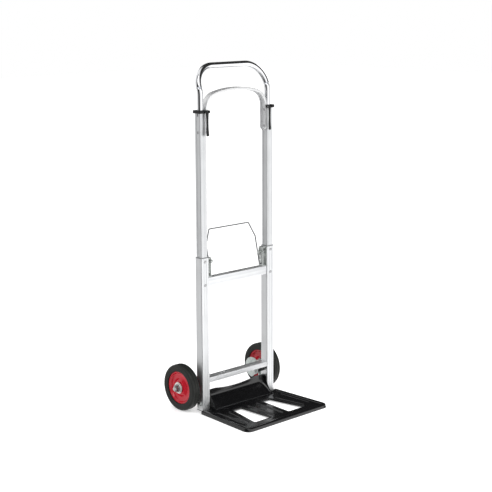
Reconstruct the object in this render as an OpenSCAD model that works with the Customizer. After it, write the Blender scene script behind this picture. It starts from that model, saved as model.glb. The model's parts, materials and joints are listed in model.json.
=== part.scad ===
// Folding, telescoping aluminium hand truck.
// Millimetres, +Z up. The origin lies on the floor, midway between the side rails, in the plane
// of the rails' centres. +X is the truck's right, -Y is the load side, the wheels stand at +Y.

/* [Lower frame] */
// Distance between the centres of the two side rails
rail_pitch = 282.6; // [250:0.2:340]
// Outer size of a square side rail
rail_size = 30; // [29.5:0.5:36]
// Wall thickness of the side rails
rail_wall = 2; // [1.6:0.1:2.2]
// Height of the rails' lower ends above the floor
rail_bottom = 8; // [6:0.5:10]
// Height of the rails' upper ends
rail_top = 501; // [450:1:600]
// Depth of the upper crossbar, front to rear
upper_bar_depth = 24; // [16:1:28]
// Height of the upper crossbar's section
upper_bar_height = 27; // [18:1:33]
// Height of the upper crossbar's lower edge
upper_bar_z = 410; // [340:1:415]
// Depth of the lower crossbar, front to rear
lower_bar_depth = 28; // [20:1:30]
// Height of the lower crossbar's section
lower_bar_height = 16; // [13:1:20]
// Height of the lower crossbar's lower edge
lower_bar_z = 96; // [92:1:116]

/* [Middle frame] */
// Outer size of a square middle tube
mid_size = 25; // [24:0.5:25]
// Wall thickness of the middle tubes
mid_wall = 2; // [1.6:0.1:2.2]
// Height of the middle tubes' lower ends, pulled out
mid_bottom = 412; // [406:1:430]
// Height of the middle tubes' upper ends, pulled out
mid_top = 955; // [800:1:1060]
// Width of the shallow groove along the sides of the middle tubes
mid_groove = 10; // [9:0.5:12]
// Height of the arch above the tops of the middle tubes
arch_rise = 68; // [62:1:82]
// Radius of the arch's crown
crown_r = 357.5; // [300:0.5:430]
// Radius of the arch's corners
arch_corner_r = 54; // [45:1:60]
// Depth of the arch's channel, front to rear
arch_depth = 24; // [20:1:25]
// Height of the arch channel's flanges
arch_flange = 8; // [6:0.5:10]
// Length of the arch's legs on the middle tubes
arch_leg = 75; // [62:1:90]

/* [Handle] */
// Overall height of the truck, with the handle pushed in
overall_height = 1100; // [1080:1:1320]
// Outer diameter of the handle's tube
handle_d = 19; // [16:0.5:19]
// Wall thickness of the handle's tube
handle_wall = 1.5; // [1:0.1:2]
// Angle at which the handle leans back
handle_lean = 20.5; // [10:0.5:25]
// Radius of the bend at the foot of the lean
knee_r = 60; // [40:1:80]
// Radius of the handle's upper corners
handle_corner_r = 71; // [50:1:85]
// Length of each handle leg that is held in its middle tube
handle_held = 185; // [140:1:230]

/* [Locks] */
// Length of a flip lever
lever_length = 74; // [50:1:90]
// Width of a flip lever
lever_w = 9; // [6:0.5:10]
// Diameter of a latch pin
latch_pin_d = 8; // [6:0.5:8]
// Travel of a latch pin as the bail is pulled
latch_travel = 5; // [3:0.5:5.5]
// Height of the latch pins
latch_z = 485; // [478:1:486]
// Diameter of the bail's wire
bail_d = 4; // [3:0.5:5]
// Height of the bail above its pivot, along its own lean
bail_height = 139; // [110:1:165]
// Length of the bail's straight legs
bail_leg = 92; // [70:1:105]
// Distance by which each upper corner of the bail is drawn in
bail_taper = 21; // [15:1:40]
// Angle at which the bail leans back
bail_lean = 12.5; // [5:0.5:20]

/* [Toe plate] */
// Distance from the rails' centres to the front edge of the toe plate
toe_reach = 246; // [220:1:295]
// Width of the toe plate at its rear edge
toe_rear_w = 330; // [320:1:350]
// Width of the toe plate at its front edge
toe_front_w = 358; // [350:1:420]
// Overall thickness of the toe plate
toe_height = 12; // [10:0.5:12.5]
// Thickness of the toe plate's sheet
toe_sheet = 3; // [2.5:0.1:3]
// Radius of the toe plate's front corners
toe_corner_r = 20; // [14:1:26]
// Width of the raised rim
toe_rim = 15; // [12:0.5:17]
// Height of the toe plate's pivot above the floor
pivot_z = 28; // [27.5:0.5:30]
// Diameter of the toe plate's pivot pins
pivot_d = 8; // [6:0.5:9]

/* [Wheels] */
// Diameter of a wheel
wheel_d = 150; // [140:1:180]
// Width of a wheel
wheel_w = 31; // [25:0.5:38]
// Distance from the rails' centres back to the axles
axle_y = 62.6; // [58:0.2:75]
// Gap between a rail's outer side and its wheel
wheel_gap = 5.7; // [5:0.1:10]
// Diameter of an axle
axle_d = 12; // [10:0.5:13]
// Radius of the tyre's seat on the wheel disc
tyre_seat_r = 53; // [50:0.5:56]

/* [Hidden] */
$fn = 48;

// Clearances
run_gap = 0.05;      // a pin, bolt or rivet in its bore
slide_gap = 0.35;    // two pieces that slide or pass close by
seat_gap = 0.1;      // a plug or a cap on its tube
ear_gap = 0.5;       // the toe plate's ears beside the rails

// Colours
aluminium = [0.80, 0.81, 0.81];
zinc = [0.66, 0.70, 0.68];
chrome = [0.86, 0.87, 0.88];
black_paint = [0.06, 0.06, 0.07];
black_plastic = [0.08, 0.08, 0.09];
grey_plastic = [0.35, 0.36, 0.37];
red_paint = [0.78, 0.06, 0.12];
rubber = [0.10, 0.11, 0.10];

// Rails and tubes
rail_x = rail_pitch / 2;
rail_half = rail_size / 2;
rail_in_x = rail_x - rail_half;
rail_out_x = rail_x + rail_half;
rail_cavity = rail_size - 2 * rail_wall;
rail_corner_r = 2.5;
rail_line_w = 1.2;
rail_line_depth = 0.5;
rail_line_x = 5;
foot_flange = 3;
foot_plug = 10;
collar_ring_h = 2.5;
mid_half = mid_size / 2;
mid_in_x = rail_x - mid_half;
mid_cavity = mid_size - 2 * mid_wall;
mid_corner_r = 2;
mid_groove_depth = 1;
mid_plug_h = 12;
mid_plug_insert = 14;

// Crossbars
bar_sheet = 2;
bar_slot = [24, 10];
bar_slot_x = -55;
bar_hole_r = 2.5;
bar_rivet_y = 5;
rivet_r = 2.4;
rivet_head_r = 4.6;
rivet_head_h = 1.6;

// Arch
arch_sheet = 2;
arch_top = mid_top + arch_rise;
arch_bottom = mid_top - arch_leg;
crown_z = arch_top - crown_r;
arch_corner_x = mid_in_x - arch_corner_r;
arch_corner_z = crown_z + sqrt(pow(crown_r - arch_corner_r, 2) - pow(arch_corner_x, 2));
arch_rivet_z = [arch_bottom + 13, mid_top - 10];

// Handle
handle_r = handle_d / 2;
handle_top_z = overall_height - handle_r;
knee_top_z = handle_top_z - handle_corner_r * cos(handle_lean);
knee_z = knee_top_z - knee_r * sin(handle_lean);
knee_y = knee_r * (1 - cos(handle_lean));
handle_bottom = mid_top - handle_held;
handle_plug_h = 4;
handle_plug_insert = 10;
bead_gap = 0.1;
bead_rise = 0.04;

// Collars and flip levers
collar_wall = 4.5;
collar_h = 9;
collar_lap = 4;
collar_half = mid_half + collar_wall;
collar_z = mid_top - collar_lap;
lever_x = rail_x - 10;
lever_eye_r = 4.2;
lever_t = 5;
lever_pin_r = 1.5;
lever_y = -collar_half - slide_gap - lever_eye_r;
lever_z = collar_z + collar_h / 2;
lug_t = 2.5;
lug_gap = 0.3;

// Latches and bail
latch_w = 26;
latch_sheet = 1.5;
latch_depth = 15;
latch_bottom = upper_bar_z + upper_bar_height + 1;
latch_top = rail_top - 1;
latch_cheek_x = rail_in_x - latch_depth;
latch_pin_r = latch_pin_d / 2;
latch_bite = 0.6;
latch_collar_r = 7;
latch_collar_t = 1.8;
latch_stub = latch_travel + 6;
latch_collar_x = rail_in_x - latch_sheet - 0.2 - latch_collar_t;
latch_spring_wire_r = 0.7;
bail_r = bail_d / 2;
bail_bend_r = 5;
bail_x = latch_cheek_x - bail_bend_r - 0.6;
bail_pivot_z = latch_bottom + 7;

// Toe plate
toe_rear_y = -rail_half - 1;
toe_opening_rear_y = -73;
toe_opening_front_y = -205;
toe_opening = [[45, toe_opening_rear_y], [38, toe_opening_front_y],
               [110, toe_opening_front_y], [82, toe_opening_rear_y]];
toe_trough = [[132, -55], [134, -180], [152, -180], [147, -55]];
toe_trough_depth = 1.5;
toe_lip = 3;
toe_panel_z = toe_height - 2 * toe_sheet;
rib_r = 6;
ear_out_x = rail_in_x - ear_gap;
ear_in_x = ear_out_x - toe_sheet;
ear_top = 66;
ear_front_y = -13;
ear_rear_y = 12;
web_y = 5;
web_low = 57;
web_fillet_r = web_y - ear_front_y;
web_top_r = 472;
heel_front_y = -12;
scoop_top = 40;
scoop_front_y = -43;
pivot_r = pivot_d / 2;
pivot_boss_r = 11;
pivot_head_r = 7;
pivot_head_h = 4;

// Fold spring
spring_rod_r = 3;
spring_rod_z = lower_bar_z - 10;
hanger_x = rail_in_x - 42;
hanger_t = 2;
hanger_low = 10;
fold_spring_wire_r = 1.1;
fold_spring_r = 5.2;
fold_spring_turns = 10;

// Wheel hinges
wheel_r = wheel_d / 2;
axle_z = wheel_r;
axle_r = axle_d / 2;
hinge_y = rail_half + 18;
hinge_r = 7;
hinge_pin_r = 3.5;
hinge_half = 15;
knuckle_h = 15.5;
knuckle_gap = 0.3;
hinge_plate_t = 2.5;
hinge_plate_w = 26;
hinge_web_t = 6;
hinge_low = axle_z - hinge_half - knuckle_gap - knuckle_h;
hinge_high = axle_z + hinge_half + knuckle_gap + knuckle_h;
cheek_t = 2.5;
cheek_x = rail_x - hinge_r - cheek_t;
cheek_r = 34.5;
cheek_front_y = hinge_y + 8.5;
cheek_edge_z = axle_z + 27.5;
cheek_tangent = [axle_y - 6, axle_z + 33.8];

// Wheels
wheel_in_x = rail_out_x + wheel_gap;
wheel_out_x = wheel_in_x + wheel_w;
hub_in_x = wheel_in_x - 1.7;
hub_out_x = wheel_out_x + 4;
hub_bore_r = axle_r + 6;
hub_r = axle_r + 9;
hub_flange_r = axle_r + 12.5;
hub_flange_t = 2;
hub_flange_inset = 3;
bearing_w = 9;
axle_head_r = 10;
axle_head_t = 4;
washer_r = 11;
washer_t = 1.7;
nut_r = 11;
nut_t = 7;
axle_end_x = hub_out_x + washer_t + nut_t + 4.3;
cotter_r = 1.2;
cotter_length = 19;
cotter_x = axle_end_x - 2.4;
disc_sheet = 2;
tyre_corner_r = 6;
tread_groove_w = 1.5;
tread_groove_depth = 1;

// ---- Shared shapes ----

// A box from its low corner to its high corner
module span(low, high) {
    translate(low) cube(high - low);
}

// A round bar along X
module rod_x(x0, x1, r, y, z) {
    translate([x0, y, z]) rotate([0, 90, 0]) cylinder(h = x1 - x0, r = r);
}

// A round bar along Y
module rod_y(y0, y1, r, x, z) {
    translate([x, y0, z]) rotate([-90, 0, 0]) cylinder(h = y1 - y0, r = r);
}

// A piece drawn on the right, put on the left when s is negative
module on_side(s) {
    if (s < 0) mirror([1, 0, 0]) children();
    else children();
}

// A square with round corners
module round_square(w, d, r) {
    square([w - 2 * r, d], center = true);
    square([w, d - 2 * r], center = true);
    for (x = [-1, 1], y = [-1, 1])
        translate([x * (w / 2 - r), y * (d / 2 - r)]) circle(r);
}

// An outline in the Y-Z plane, given a thickness along X
module plate_x(x0, x1) {
    translate([x0, 0, 0]) rotate([90, 0, 90]) linear_extrude(x1 - x0) children();
}

// An outline in the X-Z plane, given a thickness along Y
module plate_y(y0, y1) {
    translate([0, y1, 0]) rotate([90, 0, 0]) linear_extrude(y1 - y0) children();
}

// A domed rivet along +X: its head starts at x and its shank runs back by len
module rivet_x(x, y, z, len) {
    translate([x, y, z]) rotate([0, 90, 0]) {
        cylinder(h = rivet_head_h, r1 = rivet_head_r, r2 = rivet_head_r - 1.2);
        translate([0, 0, -len]) cylinder(h = len + 0.1, r = rivet_r);
    }
}

// A coil spring that starts at the origin and runs along Z
module coil(length, mean_r, wire_r, turns) {
    steps = 14;
    sides = 6;
    rings = turns * steps;
    points = [for (i = [0 : rings], j = [0 : sides - 1])
        let (a = 360 * i / steps, b = 360 * j / sides,
             r = mean_r + wire_r * cos(b))
        [r * cos(a), r * sin(a),
         wire_r + (length - 2 * wire_r) * i / rings + wire_r * sin(b)]];
    skin = [for (i = [0 : rings - 1], j = [0 : sides - 1], half = [0, 1])
        let (k = (j + 1) % sides, a = i * sides, b = a + sides)
        half == 0 ? [a + j, b + j, b + k] : [a + j, b + k, a + k]];
    first = [[for (j = [0 : sides - 1]) j]];
    last = [[for (j = [sides - 1 : -1 : 0]) rings * sides + j]];
    polyhedron(points = points, faces = concat(skin, first, last), convexity = 10);
}

// ---- Lower frame ----

module rail(s) {
    color(aluminium) on_side(s) difference() {
        translate([rail_x, 0, rail_bottom]) linear_extrude(rail_top - rail_bottom)
            difference() {
                round_square(rail_size, rail_size, rail_corner_r);
                square(rail_cavity, center = true);
                for (x = [-rail_line_x, rail_line_x], y = [-rail_half, rail_half])
                    translate([x, y])
                        square([rail_line_w, 2 * rail_line_depth], center = true);
            }
        rod_x(rail_in_x - 1, rail_in_x + rail_wall + 0.2, latch_pin_r + run_gap, 0, latch_z);
        rod_x(rail_in_x - 1, rail_out_x + 1, pivot_r + run_gap, 0, pivot_z);
        for (z = [lower_bar_z + lower_bar_height / 2, upper_bar_z + upper_bar_height / 2],
             y = [-bar_rivet_y, bar_rivet_y])
            rod_x(rail_in_x - 1, rail_in_x + rail_wall + 0.2, rivet_r + run_gap, y, z);
        for (z = [upper_bar_z + 5, rail_top - 11])
            rod_y(-rail_half - 1, -rail_half + rail_wall + 0.2, rivet_r + run_gap, rail_x, z);
        for (z = [axle_z - 9, axle_z + 9])
            rod_y(rail_half - rail_wall - 0.2, rail_half + 1, rivet_r + run_gap, rail_x, z);
    }
}

module rail_foot(s) {
    plug = rail_cavity - 2 * seat_gap;
    color(grey_plastic) on_side(s) translate([rail_x, 0, rail_bottom]) {
        translate([0, 0, -foot_flange]) linear_extrude(foot_flange)
            round_square(rail_size, rail_size, rail_corner_r);
        linear_extrude(foot_plug) square(plug, center = true);
    }
}

module rail_collar(s) {
    color(grey_plastic) on_side(s) translate([rail_x, 0, rail_top])
        linear_extrude(collar_ring_h) difference() {
            round_square(rail_size, rail_size, rail_corner_r);
            round_square(mid_size + 2 * slide_gap, mid_size + 2 * slide_gap, mid_corner_r);
        }
}

// Rivets of the crossbars (through the end flanges) and of the rails' front and rear faces
module rail_rivets() {
    wall_len = rail_wall - 0.1;
    color(zinc) for (s = [-1, 1]) on_side(s) {
        for (z = [lower_bar_z + lower_bar_height / 2, upper_bar_z + upper_bar_height / 2],
             y = [-bar_rivet_y, bar_rivet_y])
            mirror([1, 0, 0])
                rivet_x(-rail_in_x + bar_sheet, y, z, bar_sheet + wall_len);
        for (z = [upper_bar_z + 5, rail_top - 11])
            translate([rail_x, 0, 0]) rotate([0, 0, -90])
                rivet_x(rail_half, 0, z, wall_len);
        for (z = [axle_z - 9, axle_z + 9])
            translate([rail_x, 0, 0]) rotate([0, 0, 90])
                rivet_x(rail_half + hinge_plate_t, 0, z, hinge_plate_t + wall_len);
    }
}

// A channel that is open below, with an end flange against each rail
module crossbar(depth, height, z) {
    half = depth / 2;
    span([-rail_in_x, -half, z + height - bar_sheet], [rail_in_x, half, z + height]);
    for (y = [-half, half - bar_sheet])
        span([-rail_in_x, y, z], [rail_in_x, y + bar_sheet, z + height]);
    for (x = [-rail_in_x, rail_in_x - bar_sheet])
        span([x, -half, z], [x + bar_sheet, half, z + height]);
}

// The bores for a crossbar's own rivets
module crossbar_bores(height, z) {
    for (s = [-1, 1], y = [-bar_rivet_y, bar_rivet_y]) on_side(s)
        rod_x(rail_in_x - bar_sheet - 1, rail_in_x + 1, rivet_r + run_gap, y, z + height / 2);
}

module upper_crossbar() {
    color(aluminium) difference() {
        crossbar(upper_bar_depth, upper_bar_height, upper_bar_z);
        crossbar_bores(upper_bar_height, upper_bar_z);
        for (x = [-60, 60]) translate([x, 0, upper_bar_z + upper_bar_height - bar_sheet - 1]) {
            translate([-30, -2, 0]) cube([60, 4, bar_sheet + 2]);
            for (e = [-30, 30]) translate([e, 0, 0]) cylinder(h = bar_sheet + 2, r = 2);
        }
    }
}

module lower_crossbar() {
    top = lower_bar_z + lower_bar_height;
    end = (bar_slot[0] - bar_slot[1]) / 2;
    color(aluminium) difference() {
        crossbar(lower_bar_depth, lower_bar_height, lower_bar_z);
        crossbar_bores(lower_bar_height, lower_bar_z);
        translate([bar_slot_x, 0, top - bar_sheet - 1]) {
            translate([-end, -bar_slot[1] / 2, 0]) cube([2 * end, bar_slot[1], bar_sheet + 2]);
            for (x = [-end, end]) translate([x, 0, 0])
                cylinder(h = bar_sheet + 2, r = bar_slot[1] / 2);
        }
        for (x = [-80, -20, 0, 60], y = [-6]) translate([x, y, top - bar_sheet - 1])
            cylinder(h = bar_sheet + 2, r = bar_hole_r);
    }
}

// ---- Latches and bail ----

module latch_bracket(s) {
    half = latch_w / 2;
    color(zinc) on_side(s) difference() {
        union() {
            span([rail_in_x - latch_sheet, -half, latch_bottom], [rail_in_x, half, latch_top]);
            span([latch_cheek_x, -half + 3, latch_bottom],
                 [latch_cheek_x + latch_sheet, half - 3, latch_top]);
            for (z = [latch_bottom, latch_top - latch_sheet])
                span([latch_cheek_x, -half + 3, z], [rail_in_x, half - 3, z + latch_sheet]);
        }
        rod_x(rail_in_x - latch_sheet - 1, rail_in_x + 1, latch_pin_r + run_gap, 0, latch_z);
        rod_x(latch_cheek_x - 1, latch_cheek_x + latch_sheet + 1, latch_pin_r + run_gap,
              0, latch_z);
        rod_x(latch_cheek_x - 1, latch_cheek_x + latch_sheet + 1, bail_r + run_gap,
              0, bail_pivot_z);
        for (z = [bail_pivot_z + 12, bail_pivot_z + 24])
            rod_x(latch_cheek_x - 1, latch_cheek_x + latch_sheet + 1, bail_r, 4, z);
    }
}

module latch_pin(s) {
    color(zinc) on_side(s) {
        rod_x(latch_cheek_x - latch_stub, mid_in_x + latch_bite, latch_pin_r, 0, latch_z);
        rod_x(latch_collar_x, latch_collar_x + latch_collar_t, latch_collar_r, 0, latch_z);
        rod_x(latch_cheek_x - latch_stub, latch_cheek_x - latch_stub + 2, latch_pin_r + 1.5,
              0, latch_z);
    }
}

module latch_spring(s) {
    x0 = latch_cheek_x + latch_sheet;
    color(zinc) on_side(s) translate([x0, 0, latch_z]) rotate([0, 90, 0])
        coil(latch_collar_x - x0, latch_pin_r + latch_spring_wire_r + 0.4,
             latch_spring_wire_r, 4);
}

// One bent wire: two hooked feet, two legs, two drawn-in shoulders and a straight top
module bail() {
    foot = latch_cheek_x + latch_sheet + 3;
    top_x = bail_x - bail_taper;
    route = [[foot, 0], [bail_x, 0], [bail_x, bail_leg], [top_x, bail_height],
             [-top_x, bail_height]];
    last = len(route) - 1;
    cuts = [for (i = [0 : last]) i == 0 || i == last ? 0
        : bail_bend_r * tan(turn(route, i) / 2)];
    color(zinc) translate([0, 0, bail_pivot_z]) rotate([-bail_lean, 0, 0]) rotate([90, 0, 0]) {
        for (s = [-1, 1]) on_side(s) {
            for (i = [0 : last - 2]) wire_run(route[i], route[i + 1], cuts[i], cuts[i + 1]);
            for (i = [1 : last - 1]) wire_bend(route, i, cuts[i]);
        }
        wire_run(route[last - 1], route[last], cuts[last - 1], cuts[last - 1]);
    }
}

function unit(v) = v / norm(v);

// The angle by which a route of points turns at its point i
function turn(route, i) =
    acos(unit(route[i] - route[i - 1]) * unit(route[i + 1] - route[i]));

// A straight run of wire in the X-Y plane between two cut-back corners, with its beads
module wire_run(from, to, cut0, cut1) {
    d = unit(to - from);
    start = from + (cut0 > 0 ? cut0 + bead_gap : 0) * d;
    end = to - (cut1 + bead_gap) * d;
    translate(start) rotate([0, 0, atan2(d[1], d[0])]) rotate([0, 90, 0])
        cylinder(h = norm(end - start), r = bail_r);
    for (p = [from + cut0 * d, to - cut1 * d])
        if (cut0 > 0 || p != from) translate(p) rotate([0, 0, atan2(d[1], d[0])])
            rotate([0, 90, 0]) translate([0, 0, -2 * bead_gap])
                cylinder(h = 4 * bead_gap, r = bail_r + bead_rise);
}

// The bend at a route's point i, in the X-Y plane
module wire_bend(route, i, cut) {
    d = unit(route[i] - route[i - 1]);
    side = cross(d, route[i + 1] - route[i]) > 0 ? 1 : -1;
    centre = route[i] - cut * d + side * bail_bend_r * [-d[1], d[0]];
    trim = 57.3 * bead_gap / bail_bend_r;
    start = atan2(-side * d[0], side * d[1]) - (side > 0 ? 0 : turn(route, i));
    translate(centre) rotate([0, 0, start + trim])
        rotate_extrude(angle = turn(route, i) - 2 * trim, $fn = 96)
            translate([bail_bend_r, 0]) circle(bail_r);
}

// ---- Middle frame ----

module mid_tube(s) {
    color(aluminium) on_side(s) difference() {
        translate([rail_x, 0, mid_bottom]) linear_extrude(mid_top - mid_bottom)
            difference() {
                round_square(mid_size, mid_size, mid_corner_r);
                square(mid_cavity, center = true);
                for (x = [-mid_half, mid_half]) translate([x, 0])
                    square([2 * mid_groove_depth, mid_groove], center = true);
            }
        for (z = arch_rivet_z)
            rod_x(mid_in_x - 1, rail_x + mid_half + 1, rivet_r + run_gap, 0, z);
    }
}

// Plastic guides in the lower ends of the middle tubes
module mid_plugs() {
    color(grey_plastic) for (s = [-1, 1]) on_side(s) translate([rail_x, 0, mid_bottom]) {
        translate([0, 0, -mid_plug_h]) linear_extrude(mid_plug_h)
            round_square(mid_size, mid_size, mid_corner_r);
        linear_extrude(mid_plug_insert) square(mid_cavity - 2 * seat_gap, center = true);
    }
}

// The arch's outline, drawn in by t
module arch_outline(t, bottom) {
    reach = 2 * crown_r;
    fan = [arch_corner_x * reach / (crown_r - arch_corner_r),
           crown_z + (arch_corner_z - crown_z) * reach / (crown_r - arch_corner_r)];
    intersection() {
        translate([0, crown_z]) circle(crown_r - t, $fn = 96);
        polygon([[0, crown_z], fan, [-fan[0], fan[1]]]);
    }
    for (x = [-arch_corner_x, arch_corner_x]) translate([x, arch_corner_z])
        circle(arch_corner_r - t);
    translate([-mid_in_x + t, bottom])
        square([2 * (mid_in_x - t), arch_corner_z - bottom]);
}

// A band of the arch's outline between two insets
module arch_band(t0, t1, y0, y1) {
    plate_y(y0, y1) difference() {
        arch_outline(t0, arch_bottom);
        arch_outline(t1, arch_bottom - 10);
    }
}

module arch() {
    half = arch_depth / 2;
    foot_z = arch_bottom + half;
    color(aluminium) difference() {
        intersection() {
            union() {
                arch_band(0, arch_sheet, -half, half);
                for (y = [-half, half - arch_sheet])
                    arch_band(0, arch_flange, y, y + arch_sheet);
            }
            plate_x(-mid_in_x - 1, mid_in_x + 1) {
                translate([-half, foot_z]) square([arch_depth, arch_top - foot_z + 1]);
                translate([0, foot_z]) circle(half);
            }
        }
        for (s = [-1, 1], z = arch_rivet_z) on_side(s)
            rod_x(mid_in_x - arch_flange - 1, mid_in_x + 1, rivet_r + run_gap, 0, z);
    }
}

// Rivets through the arch's legs, and the ones on the middle tubes' outer sides
module arch_rivets() {
    color(zinc) for (s = [-1, 1], z = arch_rivet_z) on_side(s) {
        mirror([1, 0, 0])
            rivet_x(-mid_in_x + arch_sheet, 0, z, arch_sheet + mid_wall - 0.1);
        rivet_x(rail_x + mid_half, 0, z, mid_wall - 0.1);
    }
}

module collar(s) {
    color(black_plastic) on_side(s) difference() {
        union() {
            translate([rail_x, 0, collar_z]) linear_extrude(collar_h)
                round_square(2 * collar_half, 2 * collar_half, 3);
            for (side = [-1, 1]) {
                x = lever_x + side * (lever_w / 2 + lug_gap + lug_t / 2) - lug_t / 2;
                rod_x(x, x + lug_t, collar_h / 2, lever_y, lever_z);
                span([x, lever_y, collar_z], [x + lug_t, -collar_half + 1, collar_z + collar_h]);
            }
        }
        translate([rail_x, 0, collar_z - 1]) linear_extrude(collar_lap + 1)
            square(mid_size + 2 * seat_gap, center = true);
        span([mid_in_x - collar_wall - 1, -arch_depth / 2 - seat_gap, collar_z - 1],
             [mid_in_x, arch_depth / 2 + seat_gap, collar_z + collar_h + 1]);
        translate([rail_x, 0, collar_z]) cylinder(h = collar_h + 1, r = handle_r + slide_gap);
        rod_x(lever_x - lever_w, lever_x + lever_w, lever_pin_r + run_gap, lever_y, lever_z);
    }
}

module lever_pins() {
    half = lever_w / 2 + lug_gap + lug_t;
    color(zinc) for (s = [-1, 1]) on_side(s)
        rod_x(lever_x - half - 0.4, lever_x + half + 0.4, lever_pin_r, lever_y, lever_z);
}

module lever(s) {
    x0 = lever_x - lever_w / 2;
    x1 = lever_x + lever_w / 2;
    tip_z = lever_z - lever_length + lever_eye_r;
    color(black_plastic) on_side(s) difference() {
        union() {
            rod_x(x0, x1, lever_eye_r, lever_y, lever_z);
            span([x0, lever_y - lever_t / 2, tip_z], [x1, lever_y + lever_t / 2, lever_z]);
            rod_x(x0, x1, lever_eye_r, lever_y, tip_z);
        }
        rod_x(x0 - 1, x1 + 1, lever_pin_r + run_gap, lever_y, lever_z);
    }
}

// ---- Handle ----

// The section of the handle's tube, its wall made thicker both ways by grow
module handle_ring(grow) {
    difference() {
        circle(handle_r + grow);
        circle(handle_r - handle_wall - grow);
    }
}

// A straight run of the handle's tube along Z
module handle_run(length) {
    translate([0, 0, bead_gap]) linear_extrude(length - 2 * bead_gap) handle_ring(0);
}

// A bend of the handle's tube about Z, from the X axis towards Y
module handle_bend(r, angle) {
    trim = 57.3 * bead_gap / r;
    rotate([0, 0, trim]) rotate_extrude(angle = angle - 2 * trim, $fn = 96)
        translate([r, 0]) handle_ring(0);
}

// The thin bead that joins two runs of the tube
module handle_bead() {
    translate([0, 0, -2 * bead_gap]) linear_extrude(4 * bead_gap) handle_ring(bead_rise);
}

module handle() {
    bar_half = rail_x - handle_corner_r;
    color(chrome) {
        for (s = [-1, 1]) on_side(s) translate([rail_x, 0, 0]) {
            translate([0, 0, handle_bottom - bead_gap])
                handle_run(knee_z - handle_bottom + bead_gap);
            translate([0, 0, knee_z]) handle_bead();
            translate([0, knee_r, knee_z]) rotate([90, 0, -90])
                handle_bend(knee_r, handle_lean);
            translate([0, knee_y, knee_top_z]) rotate([-handle_lean, 0, 0]) {
                handle_bead();
                translate([-handle_corner_r, 0, 0]) rotate([90, 0, 0])
                    handle_bend(handle_corner_r, 90);
            }
        }
        translate([0, knee_y, knee_top_z]) rotate([-handle_lean, 0, 0])
            translate([-bar_half, 0, handle_corner_r]) rotate([0, 90, 0]) {
                handle_run(2 * bar_half);
                for (z = [0, 2 * bar_half]) translate([0, 0, z]) handle_bead();
            }
    }
}

module handle_plugs() {
    color(black_plastic) for (s = [-1, 1]) on_side(s) translate([rail_x, 0, handle_bottom]) {
        translate([0, 0, -handle_plug_h]) cylinder(h = handle_plug_h, r = handle_r);
        cylinder(h = handle_plug_insert, r = handle_r - handle_wall - run_gap);
    }
}

// ---- Toe plate ----

// Half the toe plate's width at a distance y
function toe_half(y) =
    (toe_rear_w + (toe_front_w - toe_rear_w) * (toe_rear_y - y) / (toe_rear_y + toe_reach)) / 2;

// The toe plate's outline, drawn in by t
module toe_outline(t) {
    side = [(toe_front_w - toe_rear_w) / 2, -(toe_reach + toe_rear_y)];
    out = [-side[1], side[0]] / norm(side);
    centre_y = -toe_reach + toe_corner_r;
    centre_x = toe_half(centre_y) - toe_corner_r / out[0];
    r = toe_corner_r - t;
    touch = [centre_x, centre_y] + r * out;
    rear_x = toe_half(toe_rear_y - t) - t / out[0];
    polygon([[-rear_x, toe_rear_y - t], [rear_x, toe_rear_y - t], touch, [centre_x, centre_y],
             [centre_x, centre_y - r], [-centre_x, centre_y - r], [-centre_x, centre_y],
             [-touch[0], touch[1]]]);
    for (x = [-centre_x, centre_x]) translate([x, centre_y]) circle(r);
}

// A layer of the toe plate between two heights
module toe_layer(z0, z1) {
    translate([0, 0, z0]) linear_extrude(z1 - z0) children();
}

// A through opening of the toe plate, made wider all round by t
module toe_opening_shape(t) {
    polygon([toe_opening[0] + [-t, t], toe_opening[1] + [-t, -t],
             toe_opening[2] + [1.3 * t, -t], toe_opening[3] + [1.1 * t, t]]);
}

// The flat pressed sheet with its rim, its ribs and its openings
module toe_sheet_metal() {
    step_z = toe_height - toe_sheet;
    rib_x = toe_opening[3][0] + 28;
    difference() {
        union() {
            toe_layer(0, toe_height) difference() {
                toe_outline(0);
                toe_outline(toe_sheet);
            }
            toe_layer(step_z, toe_height) difference() {
                toe_outline(0);
                toe_outline(toe_rim);
            }
            toe_layer(toe_panel_z, step_z) toe_outline(toe_rim - toe_sheet);
            for (s = [-1, 1]) on_side(s) toe_layer(toe_lip, step_z) toe_opening_shape(toe_sheet);
            for (x = [-18, 18]) intersection() {
                rod_y(toe_opening_front_y, toe_opening_rear_y, rib_r, x, toe_panel_z);
                span([x - rib_r, -toe_reach, toe_panel_z], [x + rib_r, 0, toe_height]);
            }
            for (s = [-1, 1]) on_side(s) span([rib_x, toe_opening_front_y + 15, toe_panel_z],
                                             [rib_x + 8, toe_opening_rear_y, step_z + 1.5]);
        }
        for (s = [-1, 1]) on_side(s) {
            toe_layer(-1, toe_height + 1) toe_opening_shape(0);
            toe_layer(step_z - toe_trough_depth, toe_height + 1) polygon(toe_trough);
        }
        span([-ear_in_x, toe_rear_y - toe_rim - 1, -1],
             [ear_in_x, toe_rear_y + 1, toe_height + 1]);
    }
}

// The outline of an ear, which stands beside a rail
module ear_outline() {
    polygon([[web_y + toe_sheet, 0], [ear_rear_y, 12], [ear_rear_y, ear_top - 6],
             [ear_rear_y - 6, ear_top], [ear_front_y + 9, ear_top], [ear_front_y, ear_top - 10],
             [ear_front_y - 1, 50], [ear_front_y - 10, 28], [scoop_front_y, toe_height],
             [scoop_front_y, 0]]);
}

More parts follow.
